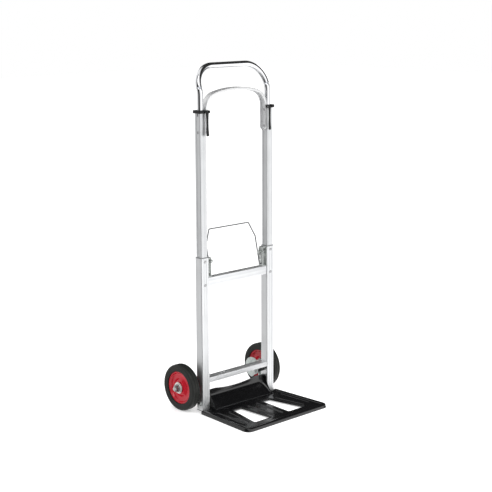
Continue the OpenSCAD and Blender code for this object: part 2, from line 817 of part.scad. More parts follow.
module toe_plate() {
    color(black_paint) difference() {
        union() {
            toe_sheet_metal();
            for (s = [-1, 1]) on_side(s) {
                plate_x(ear_in_x, ear_out_x) ear_outline();
                rod_x(ear_in_x - toe_sheet, ear_in_x, pivot_boss_r, 0, pivot_z);
                translate([ear_in_x - web_fillet_r, ear_front_y, toe_height])
                    corner_shell(ear_top - 4 - toe_height);
            }
            plate_y(web_y, web_y + toe_sheet) difference() {
                translate([-ear_in_x, 0]) square([2 * ear_in_x, ear_top - 4]);
                translate([0, web_low + web_top_r]) circle(web_top_r, $fn = 128);
            }
            span([-ear_in_x, heel_front_y, 0], [ear_in_x, web_y + toe_sheet, toe_sheet]);
            plate_x(-ear_in_x, ear_in_x)
                polygon([[web_y + 1, scoop_top], [scoop_front_y, toe_height - toe_sheet],
                         [scoop_front_y, toe_panel_z], [scoop_front_y + 5, toe_panel_z],
                         [web_y + 1, scoop_top - 4.5]]);
        }
        for (s = [-1, 1]) on_side(s)
            rod_x(ear_in_x - toe_sheet - 1, ear_out_x + 1, pivot_r + run_gap, 0, pivot_z);
    }
}

// A quarter of a tube that rounds the inner corner between the web and an ear
module corner_shell(height) {
    intersection() {
        difference() {
            cylinder(h = height, r = web_fillet_r + toe_sheet);
            translate([0, 0, -1]) cylinder(h = height + 2, r = web_fillet_r);
        }
        cube([web_fillet_r + toe_sheet, web_fillet_r + toe_sheet, height]);
    }
}

module pivot_pins() {
    color(zinc) for (s = [-1, 1]) on_side(s) {
        rod_x(ear_in_x - toe_sheet + 0.5, rail_out_x, pivot_r, 0, pivot_z);
        rod_x(rail_out_x, rail_out_x + pivot_head_h, pivot_head_r, 0, pivot_z);
    }
}

// ---- Fold spring ----

module spring_hanger() {
    half = lower_bar_depth / 2 - bar_sheet - seat_gap;
    top = lower_bar_z + lower_bar_height - bar_sheet;
    color(zinc) difference() {
        union() {
            span([hanger_x, -half, spring_rod_z], [hanger_x + hanger_t, half, top]);
            rod_x(hanger_x, hanger_x + hanger_t, half, 0, spring_rod_z);
        }
        rod_x(hanger_x - 1, hanger_x + hanger_t + 1, spring_rod_r + run_gap, 0, spring_rod_z);
        span([hanger_x - 1, -half - 1, spring_rod_z - half - 1],
             [hanger_x + hanger_t + 1, half + 1, spring_rod_z - hanger_low]);
    }
}

module spring_rod() {
    color(zinc) {
        rod_x(hanger_x - 2, rail_in_x, spring_rod_r, 0, spring_rod_z);
        rod_x(hanger_x - 4, hanger_x - 0.1, spring_rod_r + 2, 0, spring_rod_z);
    }
}

module fold_spring() {
    x0 = hanger_x + hanger_t + slide_gap;
    color(black_plastic) translate([x0, 0, spring_rod_z]) rotate([0, 90, 0])
        coil(rail_in_x - slide_gap - x0, fold_spring_r, fold_spring_wire_r,
             fold_spring_turns);
}

// ---- Wheel hinges ----

module hinge_bracket(s) {
    half = hinge_plate_w / 2;
    color(zinc) on_side(s) difference() {
        union() {
            span([rail_x - half, rail_half, hinge_low], [rail_x + half, rail_half + hinge_plate_t,
                                                         hinge_high]);
            for (z = [hinge_low, hinge_high - knuckle_h]) {
                translate([rail_x, hinge_y, z]) cylinder(h = knuckle_h, r = hinge_r);
                span([rail_x - hinge_web_t / 2, rail_half, z],
                     [rail_x + hinge_web_t / 2, hinge_y, z + knuckle_h]);
            }
        }
        translate([rail_x, hinge_y, hinge_low - 1])
            cylinder(h = hinge_high - hinge_low + 2, r = hinge_pin_r + run_gap);
        for (z = [axle_z - 9, axle_z + 9])
            rod_y(rail_half - 1, rail_half + hinge_plate_t + 1, rivet_r + run_gap, rail_x, z);
    }
}

module hinge_pin(s) {
    color(zinc) on_side(s) translate([rail_x, hinge_y, 0]) {
        translate([0, 0, hinge_low - 3])
            cylinder(h = hinge_high - hinge_low + 3, r = hinge_pin_r);
        translate([0, 0, hinge_high]) cylinder(h = 3, r = hinge_pin_r + 2);
    }
}

// The inner cheek's outline: round about the axle, with a straight upper edge
module cheek_outline() {
    intersection() {
        union() {
            translate([axle_y, axle_z]) circle(cheek_r, $fn = 96);
            polygon([[cheek_front_y, axle_z], [cheek_front_y, cheek_edge_z], cheek_tangent,
                     [axle_y, axle_z]]);
        }
        polygon([[cheek_front_y, axle_z + 2 * cheek_r], [cheek_front_y, axle_z - hinge_half],
                 [axle_y + 3, axle_z - cheek_r], [axle_y + 2 * cheek_r, axle_z - cheek_r],
                 [axle_y + 2 * cheek_r, axle_z + 2 * cheek_r]]);
    }
    translate([hinge_y, axle_z - hinge_half]) square([cheek_front_y - hinge_y + 1,
                                                      2 * hinge_half]);
}

module wheel_bracket(s) {
    color(zinc) on_side(s) difference() {
        union() {
            plate_x(cheek_x, cheek_x + cheek_t) cheek_outline();
            translate([rail_x, hinge_y, axle_z - hinge_half])
                cylinder(h = 2 * hinge_half, r = hinge_r);
            span([cheek_x, hinge_y, axle_z - hinge_half],
                 [rail_x, hinge_y + hinge_r - 1, axle_z + hinge_half]);
        }
        rod_x(cheek_x - 1, cheek_x + cheek_t + 1, axle_r + run_gap, axle_y, axle_z);
        translate([rail_x, hinge_y, axle_z - hinge_half - 1])
            cylinder(h = 2 * hinge_half + 2, r = hinge_pin_r + run_gap);
    }
}

module axle(s) {
    color(zinc) on_side(s) difference() {
        union() {
            rod_x(cheek_x - axle_head_t, cheek_x, axle_head_r, axle_y, axle_z);
            rod_x(cheek_x - 1, axle_end_x, axle_r, axle_y, axle_z);
        }
        translate([cotter_x, axle_y, axle_z - axle_d])
            cylinder(h = 2 * axle_d, r = cotter_r + run_gap);
    }
}

module spacer(s) {
    color(zinc) on_side(s) difference() {
        rod_x(cheek_x + cheek_t, hub_in_x - 0.3, axle_r + 3.5, axle_y, axle_z);
        rod_x(cheek_x, hub_in_x + 1, axle_r + run_gap, axle_y, axle_z);
    }
}

// A washer and a six-sided nut
module axle_nut(s) {
    x0 = hub_out_x + 0.3;
    color(zinc) on_side(s) difference() {
        union() {
            rod_x(x0, x0 + washer_t, washer_r, axle_y, axle_z);
            translate([x0 + washer_t, axle_y, axle_z]) rotate([0, 90, 0])
                cylinder(h = nut_t, r = nut_r, $fn = 6);
        }
        rod_x(x0 - 1, x0 + washer_t + nut_t + 1, axle_r + run_gap, axle_y, axle_z);
    }
}

module cotter(s) {
    color(chrome) on_side(s) translate([cotter_x, axle_y, axle_z - cotter_length / 2])
        cylinder(h = cotter_length, r = cotter_r);
}

// ---- Wheels ----

// A turned shape: radii across and distances along the axle from the wheel's inner side
module turned(s) {
    on_side(s) translate([wheel_in_x, axle_y, axle_z]) rotate([90, 0, 90])
        rotate_extrude($fn = 96) children();
}

module hub(s) {
    low = hub_in_x - wheel_in_x;
    high = hub_out_x - wheel_in_x;
    color(chrome) turned(s) {
        translate([hub_bore_r, low]) square([hub_r - hub_bore_r, high - low]);
        for (x = [low + hub_flange_inset, high - hub_flange_inset - hub_flange_t])
            translate([hub_bore_r, x]) square([hub_flange_r - hub_bore_r, hub_flange_t]);
    }
}

module bearings(s) {
    low = hub_in_x - wheel_in_x;
    high = hub_out_x - wheel_in_x;
    color(grey_plastic) turned(s)
        for (x = [low, high - bearing_w])
            translate([axle_r + run_gap, x])
                square([hub_bore_r - axle_r - 2 * run_gap, bearing_w]);
}

// The section of a pressed wheel disc, which is hollow about its middle plane
module disc_section() {
    r0 = hub_r + run_gap;
    r1 = tyre_seat_r - run_gap;
    t = disc_sheet;
    outer = [[r0, 11], [r0 + 5, 11], [r0 + 10, 8], [r0 + 18, 3], [r1 - 11, 3], [r1 - 6, 6],
             [r1 - 4, 11], [r1, 11]];
    inner = [[r1 - t, 8.5], [r1 - 5, 5], [r1 - 10, 1], [r0 + 17, 1], [r0 + 8.5, 6.2],
             [r0 + 4.5, 11 - t], [r0, 11 - t]];
    below = [for (i = [len(outer) - 1 : -1 : 0]) [outer[i][0], -outer[i][1]]];
    above = [for (i = [len(inner) - 1 : -1 : 0]) [inner[i][0], -inner[i][1]]];
    translate([0, wheel_w / 2]) polygon(concat(outer, below, above, inner));
}

module wheel_disc(s) {
    color(red_paint) turned(s) disc_section();
}

module tyre(s) {
    shoulder = wheel_r - tyre_corner_r;
    color(rubber) turned(s) difference() {
        union() {
            translate([tyre_seat_r, 0]) square([shoulder - tyre_seat_r, wheel_w]);
            translate([tyre_seat_r, tyre_corner_r])
                square([wheel_r - tyre_seat_r, wheel_w - 2 * tyre_corner_r]);
            for (x = [tyre_corner_r, wheel_w - tyre_corner_r]) translate([shoulder, x])
                circle(tyre_corner_r);
        }
        for (x = [wheel_w / 2 - 5, wheel_w / 2 + 5])
            translate([wheel_r - tread_groove_depth, x - tread_groove_w / 2])
                square([tread_groove_depth + 1, tread_groove_w]);
        for (x = [0, wheel_w]) translate([tyre_seat_r + 7, x]) circle(1.2);
    }
}

// ---- The nodes ----

rail(-1);  // rail_left
rail(1);  // rail_right
rail_foot(-1);  // rail_foot_left
rail_foot(1);  // rail_foot_right
rail_collar(-1);  // rail_collar_left
rail_collar(1);  // rail_collar_right
rail_rivets();
upper_crossbar();
lower_crossbar();
latch_bracket(-1);  // latch_bracket_left
latch_bracket(1);  // latch_bracket_right
latch_pin(-1);  // latch_pin_left
latch_pin(1);  // latch_pin_right
latch_spring(-1);  // latch_spring_left
latch_spring(1);  // latch_spring_right
bail();
mid_tube(-1);  // mid_tube_left
mid_tube(1);  // mid_tube_right
mid_plugs();
arch();
arch_rivets();
collar(-1);  // collar_left
collar(1);  // collar_right
lever_pins();
lever(-1);  // lever_left
lever(1);  // lever_right
handle();
handle_plugs();
toe_plate();
pivot_pins();
spring_hanger();
spring_rod();
fold_spring();
hinge_bracket(-1);  // hinge_bracket_left
hinge_bracket(1);  // hinge_bracket_right
hinge_pin(-1);  // hinge_pin_left
hinge_pin(1);  // hinge_pin_right
wheel_bracket(-1);  // wheel_bracket_left
wheel_bracket(1);  // wheel_bracket_right
axle(-1);  // axle_left
axle(1);  // axle_right
spacer(-1);  // spacer_left
spacer(1);  // spacer_right
axle_nut(-1);  // axle_nut_left
axle_nut(1);  // axle_nut_right
cotter(-1);  // cotter_left
cotter(1);  // cotter_right
hub(-1);  // hub_left
hub(1);  // hub_right
bearings(-1);  // bearings_left
bearings(1);  // bearings_right
wheel_disc(-1);  // wheel_disc_left
wheel_disc(1);  // wheel_disc_right
tyre(-1);  // tyre_left
tyre(1);  // tyre_right
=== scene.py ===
# Folding, telescoping hand truck: two aluminium rails with a sliding middle frame, a chrome loop
# handle, a black pressed toe plate and two solid-tyred wheels that swing in as the plate folds.
# Metres, +Z up, -Y the load side, +X the truck's right.
import json
import math

import bmesh
import bpy
from mathutils import Matrix, Vector
from mathutils.geometry import tessellate_polygon

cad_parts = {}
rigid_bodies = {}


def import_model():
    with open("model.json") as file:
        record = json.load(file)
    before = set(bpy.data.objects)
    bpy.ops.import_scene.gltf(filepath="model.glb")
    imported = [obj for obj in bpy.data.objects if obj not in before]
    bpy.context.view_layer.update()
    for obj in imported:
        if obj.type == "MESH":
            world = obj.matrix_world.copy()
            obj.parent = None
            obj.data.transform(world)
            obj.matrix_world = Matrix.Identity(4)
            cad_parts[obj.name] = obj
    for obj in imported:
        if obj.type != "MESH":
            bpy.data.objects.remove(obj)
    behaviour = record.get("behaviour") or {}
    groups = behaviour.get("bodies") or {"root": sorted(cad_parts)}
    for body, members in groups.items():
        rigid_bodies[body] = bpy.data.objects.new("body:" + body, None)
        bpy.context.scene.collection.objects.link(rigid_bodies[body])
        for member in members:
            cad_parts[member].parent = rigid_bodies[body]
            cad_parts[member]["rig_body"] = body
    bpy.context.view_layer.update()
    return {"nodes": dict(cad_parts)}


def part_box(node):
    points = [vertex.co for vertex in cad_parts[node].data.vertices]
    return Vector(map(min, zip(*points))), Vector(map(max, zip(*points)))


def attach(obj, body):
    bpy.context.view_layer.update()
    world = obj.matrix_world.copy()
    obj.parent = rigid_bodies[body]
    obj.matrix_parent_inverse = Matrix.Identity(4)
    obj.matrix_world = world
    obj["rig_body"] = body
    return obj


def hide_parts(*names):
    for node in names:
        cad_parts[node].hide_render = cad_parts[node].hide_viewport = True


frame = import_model()
cad_nodes = frame["nodes"]
SIDES = {"left": -1, "right": 1}


# ---- Studio ----
# A white sweep lit by two softboxes, with bright and dark cards round it that only reflections
# see, so that satin and polished metal show their shape. The camera stands front left.
def add_node(tree, kind, inputs=(), **settings):
    """A node with its settings, and with each input linked to a socket or set to a value."""
    made = tree.nodes.new(kind)
    for name, value in settings.items():
        setattr(made, name, value)
    for name, value in dict(inputs).items():
        if isinstance(value, bpy.types.NodeSocket):
            tree.links.new(value, made.inputs[name])
        else:
            made.inputs[name].default_value = value
    return made


def placed(name, data):
    """A new object in the scene that holds the data."""
    made = bpy.data.objects.new(name, data)
    bpy.context.scene.collection.objects.link(made)
    return made


def remap(tree, value, start, end, low=0.0, high=1.0, **settings):
    """What a value from start to end becomes when it is laid over low to high."""
    return add_node(tree, "ShaderNodeMapRange",
                    {"Value": value, "From Min": start, "From Max": end,
                     "To Min": low, "To Max": high}, **settings).outputs["Result"]


def blank_material(name, colour, roughness, metallic=0.0):
    """A material with its shader, and the Object coordinates that its patterns read."""
    material = bpy.data.materials.new(name)
    material.use_nodes = True
    tree = material.node_tree
    shader = tree.nodes["Principled BSDF"]
    shader.inputs["Base Color"].default_value = (*colour, 1)
    shader.inputs["Roughness"].default_value = roughness
    shader.inputs["Metallic"].default_value = metallic
    place = add_node(tree, "ShaderNodeTexCoord").outputs["Object"]
    return material, tree, shader, place


camera_place = Vector((-2.6018, -2.8414, 1.3088))
camera_target = Vector((0.0161, -0.0326, 0.5213))
camera_roll = math.radians(-0.23)
forward = (camera_target - camera_place).normalized()
level = forward.cross(Vector((0, 0, 1))).normalized()
upright = level.cross(forward)
right = level * math.cos(camera_roll) + upright * math.sin(camera_roll)
up = upright * math.cos(camera_roll) - level * math.sin(camera_roll)
camera_data = bpy.data.cameras.new("studio_camera")
camera_data.lens = 90.33
camera_data.sensor_width = 36
camera = placed("studio_camera", camera_data)
turn = Matrix((right, up, -forward)).transposed().to_4x4()
camera.matrix_world = Matrix.Translation(camera_place) @ turn
bpy.context.scene.camera = camera
bpy.context.scene.view_settings.view_transform = "Standard"

floor_half = 14.0
floor_mesh = bpy.data.meshes.new("studio_floor")
floor_mesh.from_pydata(
    [(x, y, 0) for x, y in ((-floor_half, -floor_half), (floor_half, -floor_half),
                            (floor_half, floor_half), (-floor_half, floor_half))],
    [], [(0, 1, 2, 3)])
floor = placed("studio_floor", floor_mesh)
floor_paint, tree, shader, place = blank_material("sweep_paper", (0.93, 0.93, 0.93), 0.9)
paper = add_node(tree, "ShaderNodeTexNoise", {"Vector": place, "Scale": 3.0})
tint = remap(tree, paper.outputs["Fac"], 0, 1, 0.92, 0.94)
tree.links.new(tint, shader.inputs["Base Color"])
shader.inputs["Emission Color"].default_value = (1, 1, 1, 1)
shader.inputs["Emission Strength"].default_value = 0.35
shader.inputs["Specular IOR Level"].default_value = 0
floor_mesh.materials.append(floor_paint)
floor.visible_glossy = False

# The studio as reflections see it. Each card is a direction, its tone, the cosines between which
# it fades out, and how much it is stretched upright.
studio = bpy.data.worlds.new("studio")
studio.use_nodes = True
bpy.context.scene.world = studio
tree = studio.node_tree
tree.nodes.clear()
gaze = add_node(tree, "ShaderNodeTexCoord").outputs["Generated"]
seen = 0.95
for direction, tone, inner, outer, flatten in (
        ((0.68, -0.73, 0.00), 1.45, 0.90, 0.40, 0.5),
        ((0.68, 0.45, 0.55), 0.02, 0.86, 0.70, 1.0),
        ((0.60, -0.25, 0.75), 0.03, 0.86, 0.72, 1.0),
        ((-1.00, -0.10, 0.00), 0.03, 0.86, 0.66, 0.3),
        ((-0.73, 0.68, 0.00), 0.75, 0.97, 0.90, 0.3),
        ((0.92, -0.39, 0.00), 0.03, 0.988, 0.965, 0.5),
        ((-0.45, -0.40, 0.75), 3.00, 0.985, 0.950, 1.0)):
    towards = Vector(direction).normalized()
    squashed = add_node(tree, "ShaderNodeVectorMath", {0: gaze, 1: (1, 1, flatten)},
                        operation="MULTIPLY")
    unit = add_node(tree, "ShaderNodeVectorMath", {0: squashed.outputs["Vector"]},
                    operation="NORMALIZE")
    lined_up = add_node(tree, "ShaderNodeVectorMath", {0: unit.outputs["Vector"], 1: towards},
                        operation="DOT_PRODUCT")
    mask = remap(tree, lined_up.outputs["Value"], outer, inner,
                 interpolation_type="SMOOTHSTEP")
    seen = add_node(tree, "ShaderNodeMix", {"Factor": mask, "A": seen, "B": tone}
                    ).outputs["Result"]
ray = add_node(tree, "ShaderNodeLightPath")
level_seen = add_node(tree, "ShaderNodeMix", {"Factor": ray.outputs["Is Glossy Ray"],
                                              "A": 1.0, "B": seen})
sky = add_node(tree, "ShaderNodeBackground", {"Strength": level_seen.outputs["Result"],
                                              "Color": (1, 1, 1, 1)})
add_node(tree, "ShaderNodeOutputWorld", {"Surface": sky.outputs["Background"]})

for name, spot, size, power in (("key_softbox", (1.6, -2.6, 2.6), 1.6, 55),
                                ("fill_softbox", (-2.8, -0.4, 1.9), 1.4, 14)):
    lamp_data = bpy.data.lights.new(name, "AREA")
    lamp_data.shape = "SQUARE"
    lamp_data.size = size
    lamp_data.energy = power
    lamp = placed(name, lamp_data)
    lamp.visible_glossy = False
    aim = (Vector((0, 0, 0.5)) - Vector(spot)).to_track_quat("-Z", "Y")
    lamp.matrix_world = Matrix.Translation(spot) @ aim.to_matrix().to_4x4()


# ---- Side rails ----
# Square aluminium extrusions with two fine lines down the front and rear, satin anodised and
# marked by handling. Each stands on a moulded grey foot and ends in a grey sliding collar.
def node_group(name, inputs, outputs, kind="ShaderNodeTree"):
    """A node group with its named sockets, and its input and output nodes."""
    group = bpy.data.node_groups.new(name, kind)
    for label, kind, value in inputs:
        socket = group.interface.new_socket(label, in_out="INPUT", socket_type=kind)
        if value is not None:
            socket.default_value = value
    for label, kind in outputs:
        group.interface.new_socket(label, in_out="OUTPUT", socket_type=kind)
    return group, add_node(group, "NodeGroupInput"), add_node(group, "NodeGroupOutput")


def use_group(tree, group, **inputs):
    """A shader node group placed in a material with its own values."""
    used = add_node(tree, "ShaderNodeGroup", node_tree=group)
    for name, value in inputs.items():
        label = name.replace("_", " ").title()
        if isinstance(value, bpy.types.NodeSocket):
            tree.links.new(value, used.inputs[label])
        else:
            used.inputs[label].default_value = value
    return used


# Fine lines that run along one axis, as a die or a brush leaves them
drawn_lines, gin, gout = node_group(
    "drawn_lines",
    [("Place", "NodeSocketVector", None), ("Stretch", "NodeSocketVector", (900, 900, 5))],
    [("Tone", "NodeSocketFloat"), ("Height", "NodeSocketFloat")])
scaled = add_node(drawn_lines, "ShaderNodeVectorMath",
                  {0: gin.outputs["Place"], 1: gin.outputs["Stretch"]}, operation="MULTIPLY")
streaks = add_node(drawn_lines, "ShaderNodeTexNoise",
                   {"Vector": scaled.outputs["Vector"], "Scale": 1.0, "Detail": 3.0})
bands = add_node(drawn_lines, "ShaderNodeTexNoise",
                 {"Vector": scaled.outputs["Vector"], "Scale": 0.12, "Detail": 1.0})
both = add_node(drawn_lines, "ShaderNodeMix", {"Factor": 0.45, "A": streaks.outputs["Fac"],
                                               "B": bands.outputs["Fac"]})
spread = remap(drawn_lines, both.outputs["Result"], 0.35, 0.65)
drawn_lines.links.new(spread, gout.inputs["Tone"])
drawn_lines.links.new(streaks.outputs["Fac"], gout.inputs["Height"])

# Smudges with a few thin scratches through them
handling_marks, gin, gout = node_group(
    "handling_marks",
    [("Place", "NodeSocketVector", None), ("Smudge Size", "NodeSocketFloat", 16.0),
     ("Scratches", "NodeSocketFloat", 0.5)],
    [("Mask", "NodeSocketFloat"), ("Scratch", "NodeSocketFloat")])
smudge = add_node(handling_marks, "ShaderNodeTexNoise",
                  {"Vector": gin.outputs["Place"], "Scale": gin.outputs["Smudge Size"],
                   "Detail": 5.0, "Roughness": 0.6, "Distortion": 0.6})
warp = add_node(handling_marks, "ShaderNodeTexNoise",
                {"Vector": gin.outputs["Place"], "Scale": 7.0})
bent = add_node(handling_marks, "ShaderNodeVectorMath",
                {0: warp.outputs["Color"], 1: (0.35, 0.35, 0.35), 2: gin.outputs["Place"]},
                operation="MULTIPLY_ADD")
cracks = add_node(handling_marks, "ShaderNodeTexVoronoi",
                  {"Vector": bent.outputs["Vector"], "Scale": 38.0},
                  feature="DISTANCE_TO_EDGE")
thin = remap(handling_marks, cracks.outputs["Distance"], 0.0, 0.012, 1.0, 0.0)
patches = remap(handling_marks, smudge.outputs["Fac"], 0.52, 0.62)
some = add_node(handling_marks, "ShaderNodeMath", {0: thin, 1: patches}, operation="MULTIPLY")
scratch = add_node(handling_marks, "ShaderNodeMath",
                   {0: some.outputs["Value"], 1: gin.outputs["Scratches"]},
                   operation="MULTIPLY")
handling_marks.links.new(smudge.outputs["Fac"], gout.inputs["Mask"])
handling_marks.links.new(scratch.outputs["Value"], gout.inputs["Scratch"])


def blend(tree, factor, low, high):
    """A colour that goes from low to high as the factor grows."""
    return add_node(tree, "ShaderNodeMix", {"Factor": factor, 6: low, 7: high},
                    data_type="RGBA").outputs[2]


def surface(tree, shader, colour, gloss, height, bump, depth):
    """A material's colour, roughness and height, linked to its shader."""
    relief = add_node(tree, "ShaderNodeBump", {"Height": height, "Strength": bump,
                                               "Distance": depth})
    tree.links.new(colour, shader.inputs["Base Color"])
    tree.links.new(gloss, shader.inputs["Roughness"])
    tree.links.new(relief.outputs["Normal"], shader.inputs["Normal"])


def satin_metal(name, dark, light, rough, stretch, smudges=16.0, scratches=0.5, bump=0.12):
    """A metal with drawn lines in its colour and surface, and smudges in its gloss."""
    material, tree, shader, place = blank_material(name, light, rough[0], 1.0)
    lines = use_group(tree, drawn_lines, place=place, stretch=stretch)
    marks = use_group(tree, handling_marks, place=place, smudge_size=smudges,
                      scratches=scratches)
    tones = blend(tree, lines.outputs["Tone"], (*dark, 1), (*light, 1))
    worn = blend(tree, marks.outputs["Scratch"], tones, (0.92, 0.92, 0.92, 1))
    gloss = remap(tree, marks.outputs["Mask"], 0.3, 0.7, *rough)
    surface(tree, shader, worn, gloss, lines.outputs["Height"], bump, 0.0004)
    return material


def give(material, *names):
    """These CAD nodes keep their shape and take this finish."""
    for name in names:
        slots = cad_nodes[name].data.materials
        slots.clear()
        slots.append(material)


def pair(*names):
    """The left and right node of each name."""
    return [f"{name}_{side}" for name in names for side in SIDES]


# Moulded or cast surfaces: a fine grain with slow changes of tone
moulded_grain, gin, gout = node_group(
    "moulded_grain",
    [("Place", "NodeSocketVector", None), ("Grain", "NodeSocketFloat", 1400.0)],
    [("Height", "NodeSocketFloat"), ("Tone", "NodeSocketFloat")])
grain = add_node(moulded_grain, "ShaderNodeTexNoise",
                 {"Vector": gin.outputs["Place"], "Scale": gin.outputs["Grain"],
                  "Detail": 2.0})
drift = add_node(moulded_grain, "ShaderNodeTexNoise",
                 {"Vector": gin.outputs["Place"], "Scale": 32.0, "Detail": 3.0})
moulded_grain.links.new(grain.outputs["Fac"], gout.inputs["Height"])
moulded_grain.links.new(drift.outputs["Fac"], gout.inputs["Tone"])


def moulded(name, dark, light, rough, grain_scale, bump=0.2):
    """Plastic, rubber or a dull coating, grained and varying a little in tone and gloss."""
    material, tree, shader, place = blank_material(name, dark, rough[0])
    shader.inputs["Specular IOR Level"].default_value = 0.25
    texture = use_group(tree, moulded_grain, place=place, grain=grain_scale)
    tones = blend(tree, texture.outputs["Tone"], (*dark, 1), (*light, 1))
    gloss = remap(tree, texture.outputs["Tone"], 0, 1, *rough)
    surface(tree, shader, tones, gloss, texture.outputs["Height"], bump, 0.0003)
    return material


def bake_modifiers(piece):
    """The piece's mesh becomes what its modifiers make of it."""
    made = bpy.data.meshes.new_from_object(
        piece.evaluated_get(bpy.context.evaluated_depsgraph_get()))
    piece.modifiers.clear()
    piece.data = made


def round_edges(piece, radius, segments):
    """The piece's sharp edges, rounded to a radius."""
    edges = piece.modifiers.new("rounded_edges", "BEVEL")
    edges.width = radius
    edges.segments = segments
    edges.limit_method = "ANGLE"
    edges.angle_limit = math.radians(35)
    bake_modifiers(piece)


def softened(node, material, slot, radius, name):
    """A copy of a CAD node with its sharp edges rounded, in place of the node."""
    mesh = cad_nodes[node].data.copy()
    mesh.materials.clear()
    shape = bmesh.new()
    shape.from_mesh(mesh)
    bmesh.ops.remove_doubles(shape, verts=shape.verts, dist=2e-6)
    bmesh.ops.dissolve_limit(shape, angle_limit=math.radians(1), verts=shape.verts,
                             edges=shape.edges)
    shape.to_mesh(mesh)
    shape.free()
    piece = placed(name, mesh)
    round_edges(piece, radius, 2)
    settle(piece, material, slot, node)


def settle(piece, material, slot, *nodes):
    """Smooth shading and the finish. The piece stands for CAD nodes and rides on their body."""
    body = cad_nodes[nodes[0]]["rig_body"]
    piece.data.materials.clear()
    piece.data.materials.append(material)
    piece.data.shade_smooth()
    piece.data.set_sharp_from_angle(angle=math.radians(32))
    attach(piece, body)
    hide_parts(*nodes)


rail_metal = satin_metal("satin_rail_aluminium", (0.76, 0.77, 0.78), (0.88, 0.89, 0.90),
                         (0.38, 0.50), (900, 900, 4))
give(rail_metal, *pair("rail"))
grey_plastic = moulded("grey_nylon", (0.17, 0.175, 0.18), (0.26, 0.265, 0.27), (0.42, 0.55),
                       1600)
for side in SIDES:
    softened(f"rail_foot_{side}", grey_plastic, "grey_plastic", 0.0008, f"foot_moulding_{side}")
    softened(f"rail_collar_{side}", grey_plastic, "grey_plastic", 0.0005,
             f"slide_collar_{side}")


# ---- Crossbars ----
# Folded aluminium channels, open below, with end flanges that are riveted to the rails. Their
# edges are broken by tumbling, and the sheet's grain runs across the truck.
bar_metal = satin_metal("folded_bar_aluminium", (0.78, 0.79, 0.80), (0.90, 0.91, 0.92),
                        (0.44, 0.58), (5, 800, 800), smudges=22.0, scratches=0.8)
softened("upper_crossbar", bar_metal, "rail_aluminium", 0.0006, "upper_crossbar_channel")
softened("lower_crossbar", bar_metal, "rail_aluminium", 0.0006, "lower_crossbar_channel")


# ---- Rivets ----
# Domed blind rivets with the snapped mandrel sunk in each head. They hold the crossbars, the
# latch brackets and hinges to the rails, and the arch to the middle tubes.
def geometry_tree(name, inputs):
    """A Geometry Nodes tree with its named inputs and its output."""
    return node_group(name, [("Geometry", "NodeSocketGeometry", None)] + inputs,
                      [("Geometry", "NodeSocketGeometry")], "GeometryNodeTree")


def grow(piece, tree, values):
    """The piece's mesh becomes what the tree makes of it, with the modifier's inputs set."""
    modifier = piece.modifiers.new(tree.name, "NODES")
    modifier.node_group = tree
    sockets = {item.name: item.identifier for item in tree.interface.items_tree
               if item.in_out == "INPUT"}
    for label, value in values.items():
        modifier[sockets[label]] = value
    bake_modifiers(piece)


rivet_tree, gin, gout = geometry_tree("domed_rivets", [
    ("Head Radius", "NodeSocketFloat", 0.0046), ("Head Height", "NodeSocketFloat", 0.0016),
    ("Mandrel Radius", "NodeSocketFloat", 0.0012), ("Shank Radius", "NodeSocketFloat", 0.0023),
    ("Material", "NodeSocketMaterial", None)])
ball = add_node(rivet_tree, "GeometryNodeMeshUVSphere", {"Segments": 24, "Rings": 14,
                                                         "Radius": 1.0})
squat = add_node(rivet_tree, "ShaderNodeCombineXYZ", {"X": gin.outputs["Head Radius"],
                                                      "Y": gin.outputs["Head Radius"],
                                                      "Z": gin.outputs["Head Height"]})
dome = add_node(rivet_tree, "GeometryNodeTransform", {"Geometry": ball.outputs["Mesh"],
                                                      "Scale": squat.outputs["Vector"]})
mandrel = add_node(rivet_tree, "GeometryNodeMeshCylinder",
                   {"Vertices": 12, "Radius": gin.outputs["Mandrel Radius"], "Depth": 0.0006})
lift = add_node(rivet_tree, "ShaderNodeCombineXYZ", {"Z": gin.outputs["Head Height"]})
stub = add_node(rivet_tree, "GeometryNodeTransform", {"Geometry": mandrel.outputs["Mesh"],
                                                      "Translation": lift.outputs["Vector"]})
shank = add_node(rivet_tree, "GeometryNodeMeshCylinder",
                 {"Vertices": 16, "Radius": gin.outputs["Shank Radius"], "Depth": 0.003})
sunk = add_node(rivet_tree, "GeometryNodeTransform",
                {"Geometry": shank.outputs["Mesh"], "Translation": (0, 0, -0.0014)})
rivet = add_node(rivet_tree, "GeometryNodeJoinGeometry")
for part in (dome, stub, sunk):
    rivet_tree.links.new(part.outputs["Geometry"], rivet.inputs["Geometry"])
facing = add_node(rivet_tree, "GeometryNodeInputNamedAttribute", {"Name": "facing"},
                  data_type="FLOAT_VECTOR")
aimed = add_node(rivet_tree, "FunctionNodeAlignRotationToVector",
                 {"Vector": facing.outputs["Attribute"]}, axis="Z")
points = add_node(rivet_tree, "GeometryNodeMeshToPoints",
                  {"Mesh": gin.outputs["Geometry"]})
spread = add_node(rivet_tree, "GeometryNodeInstanceOnPoints",
                  {"Points": points.outputs["Points"], "Instance": rivet.outputs["Geometry"],
                   "Rotation": aimed.outputs["Rotation"]})
real = add_node(rivet_tree, "GeometryNodeRealizeInstances",
                {"Geometry": spread.outputs["Instances"]})
painted = add_node(rivet_tree, "GeometryNodeSetMaterial",
                   {"Geometry": real.outputs["Geometry"], "Material": gin.outputs["Material"]})
rivet_tree.links.new(painted.outputs["Geometry"], gout.inputs["Geometry"])

rivet_steel = satin_metal("rivet_steel", (0.42, 0.42, 0.43), (0.62, 0.62, 0.63),
                          (0.28, 0.45), (700, 700, 700), smudges=90.0)


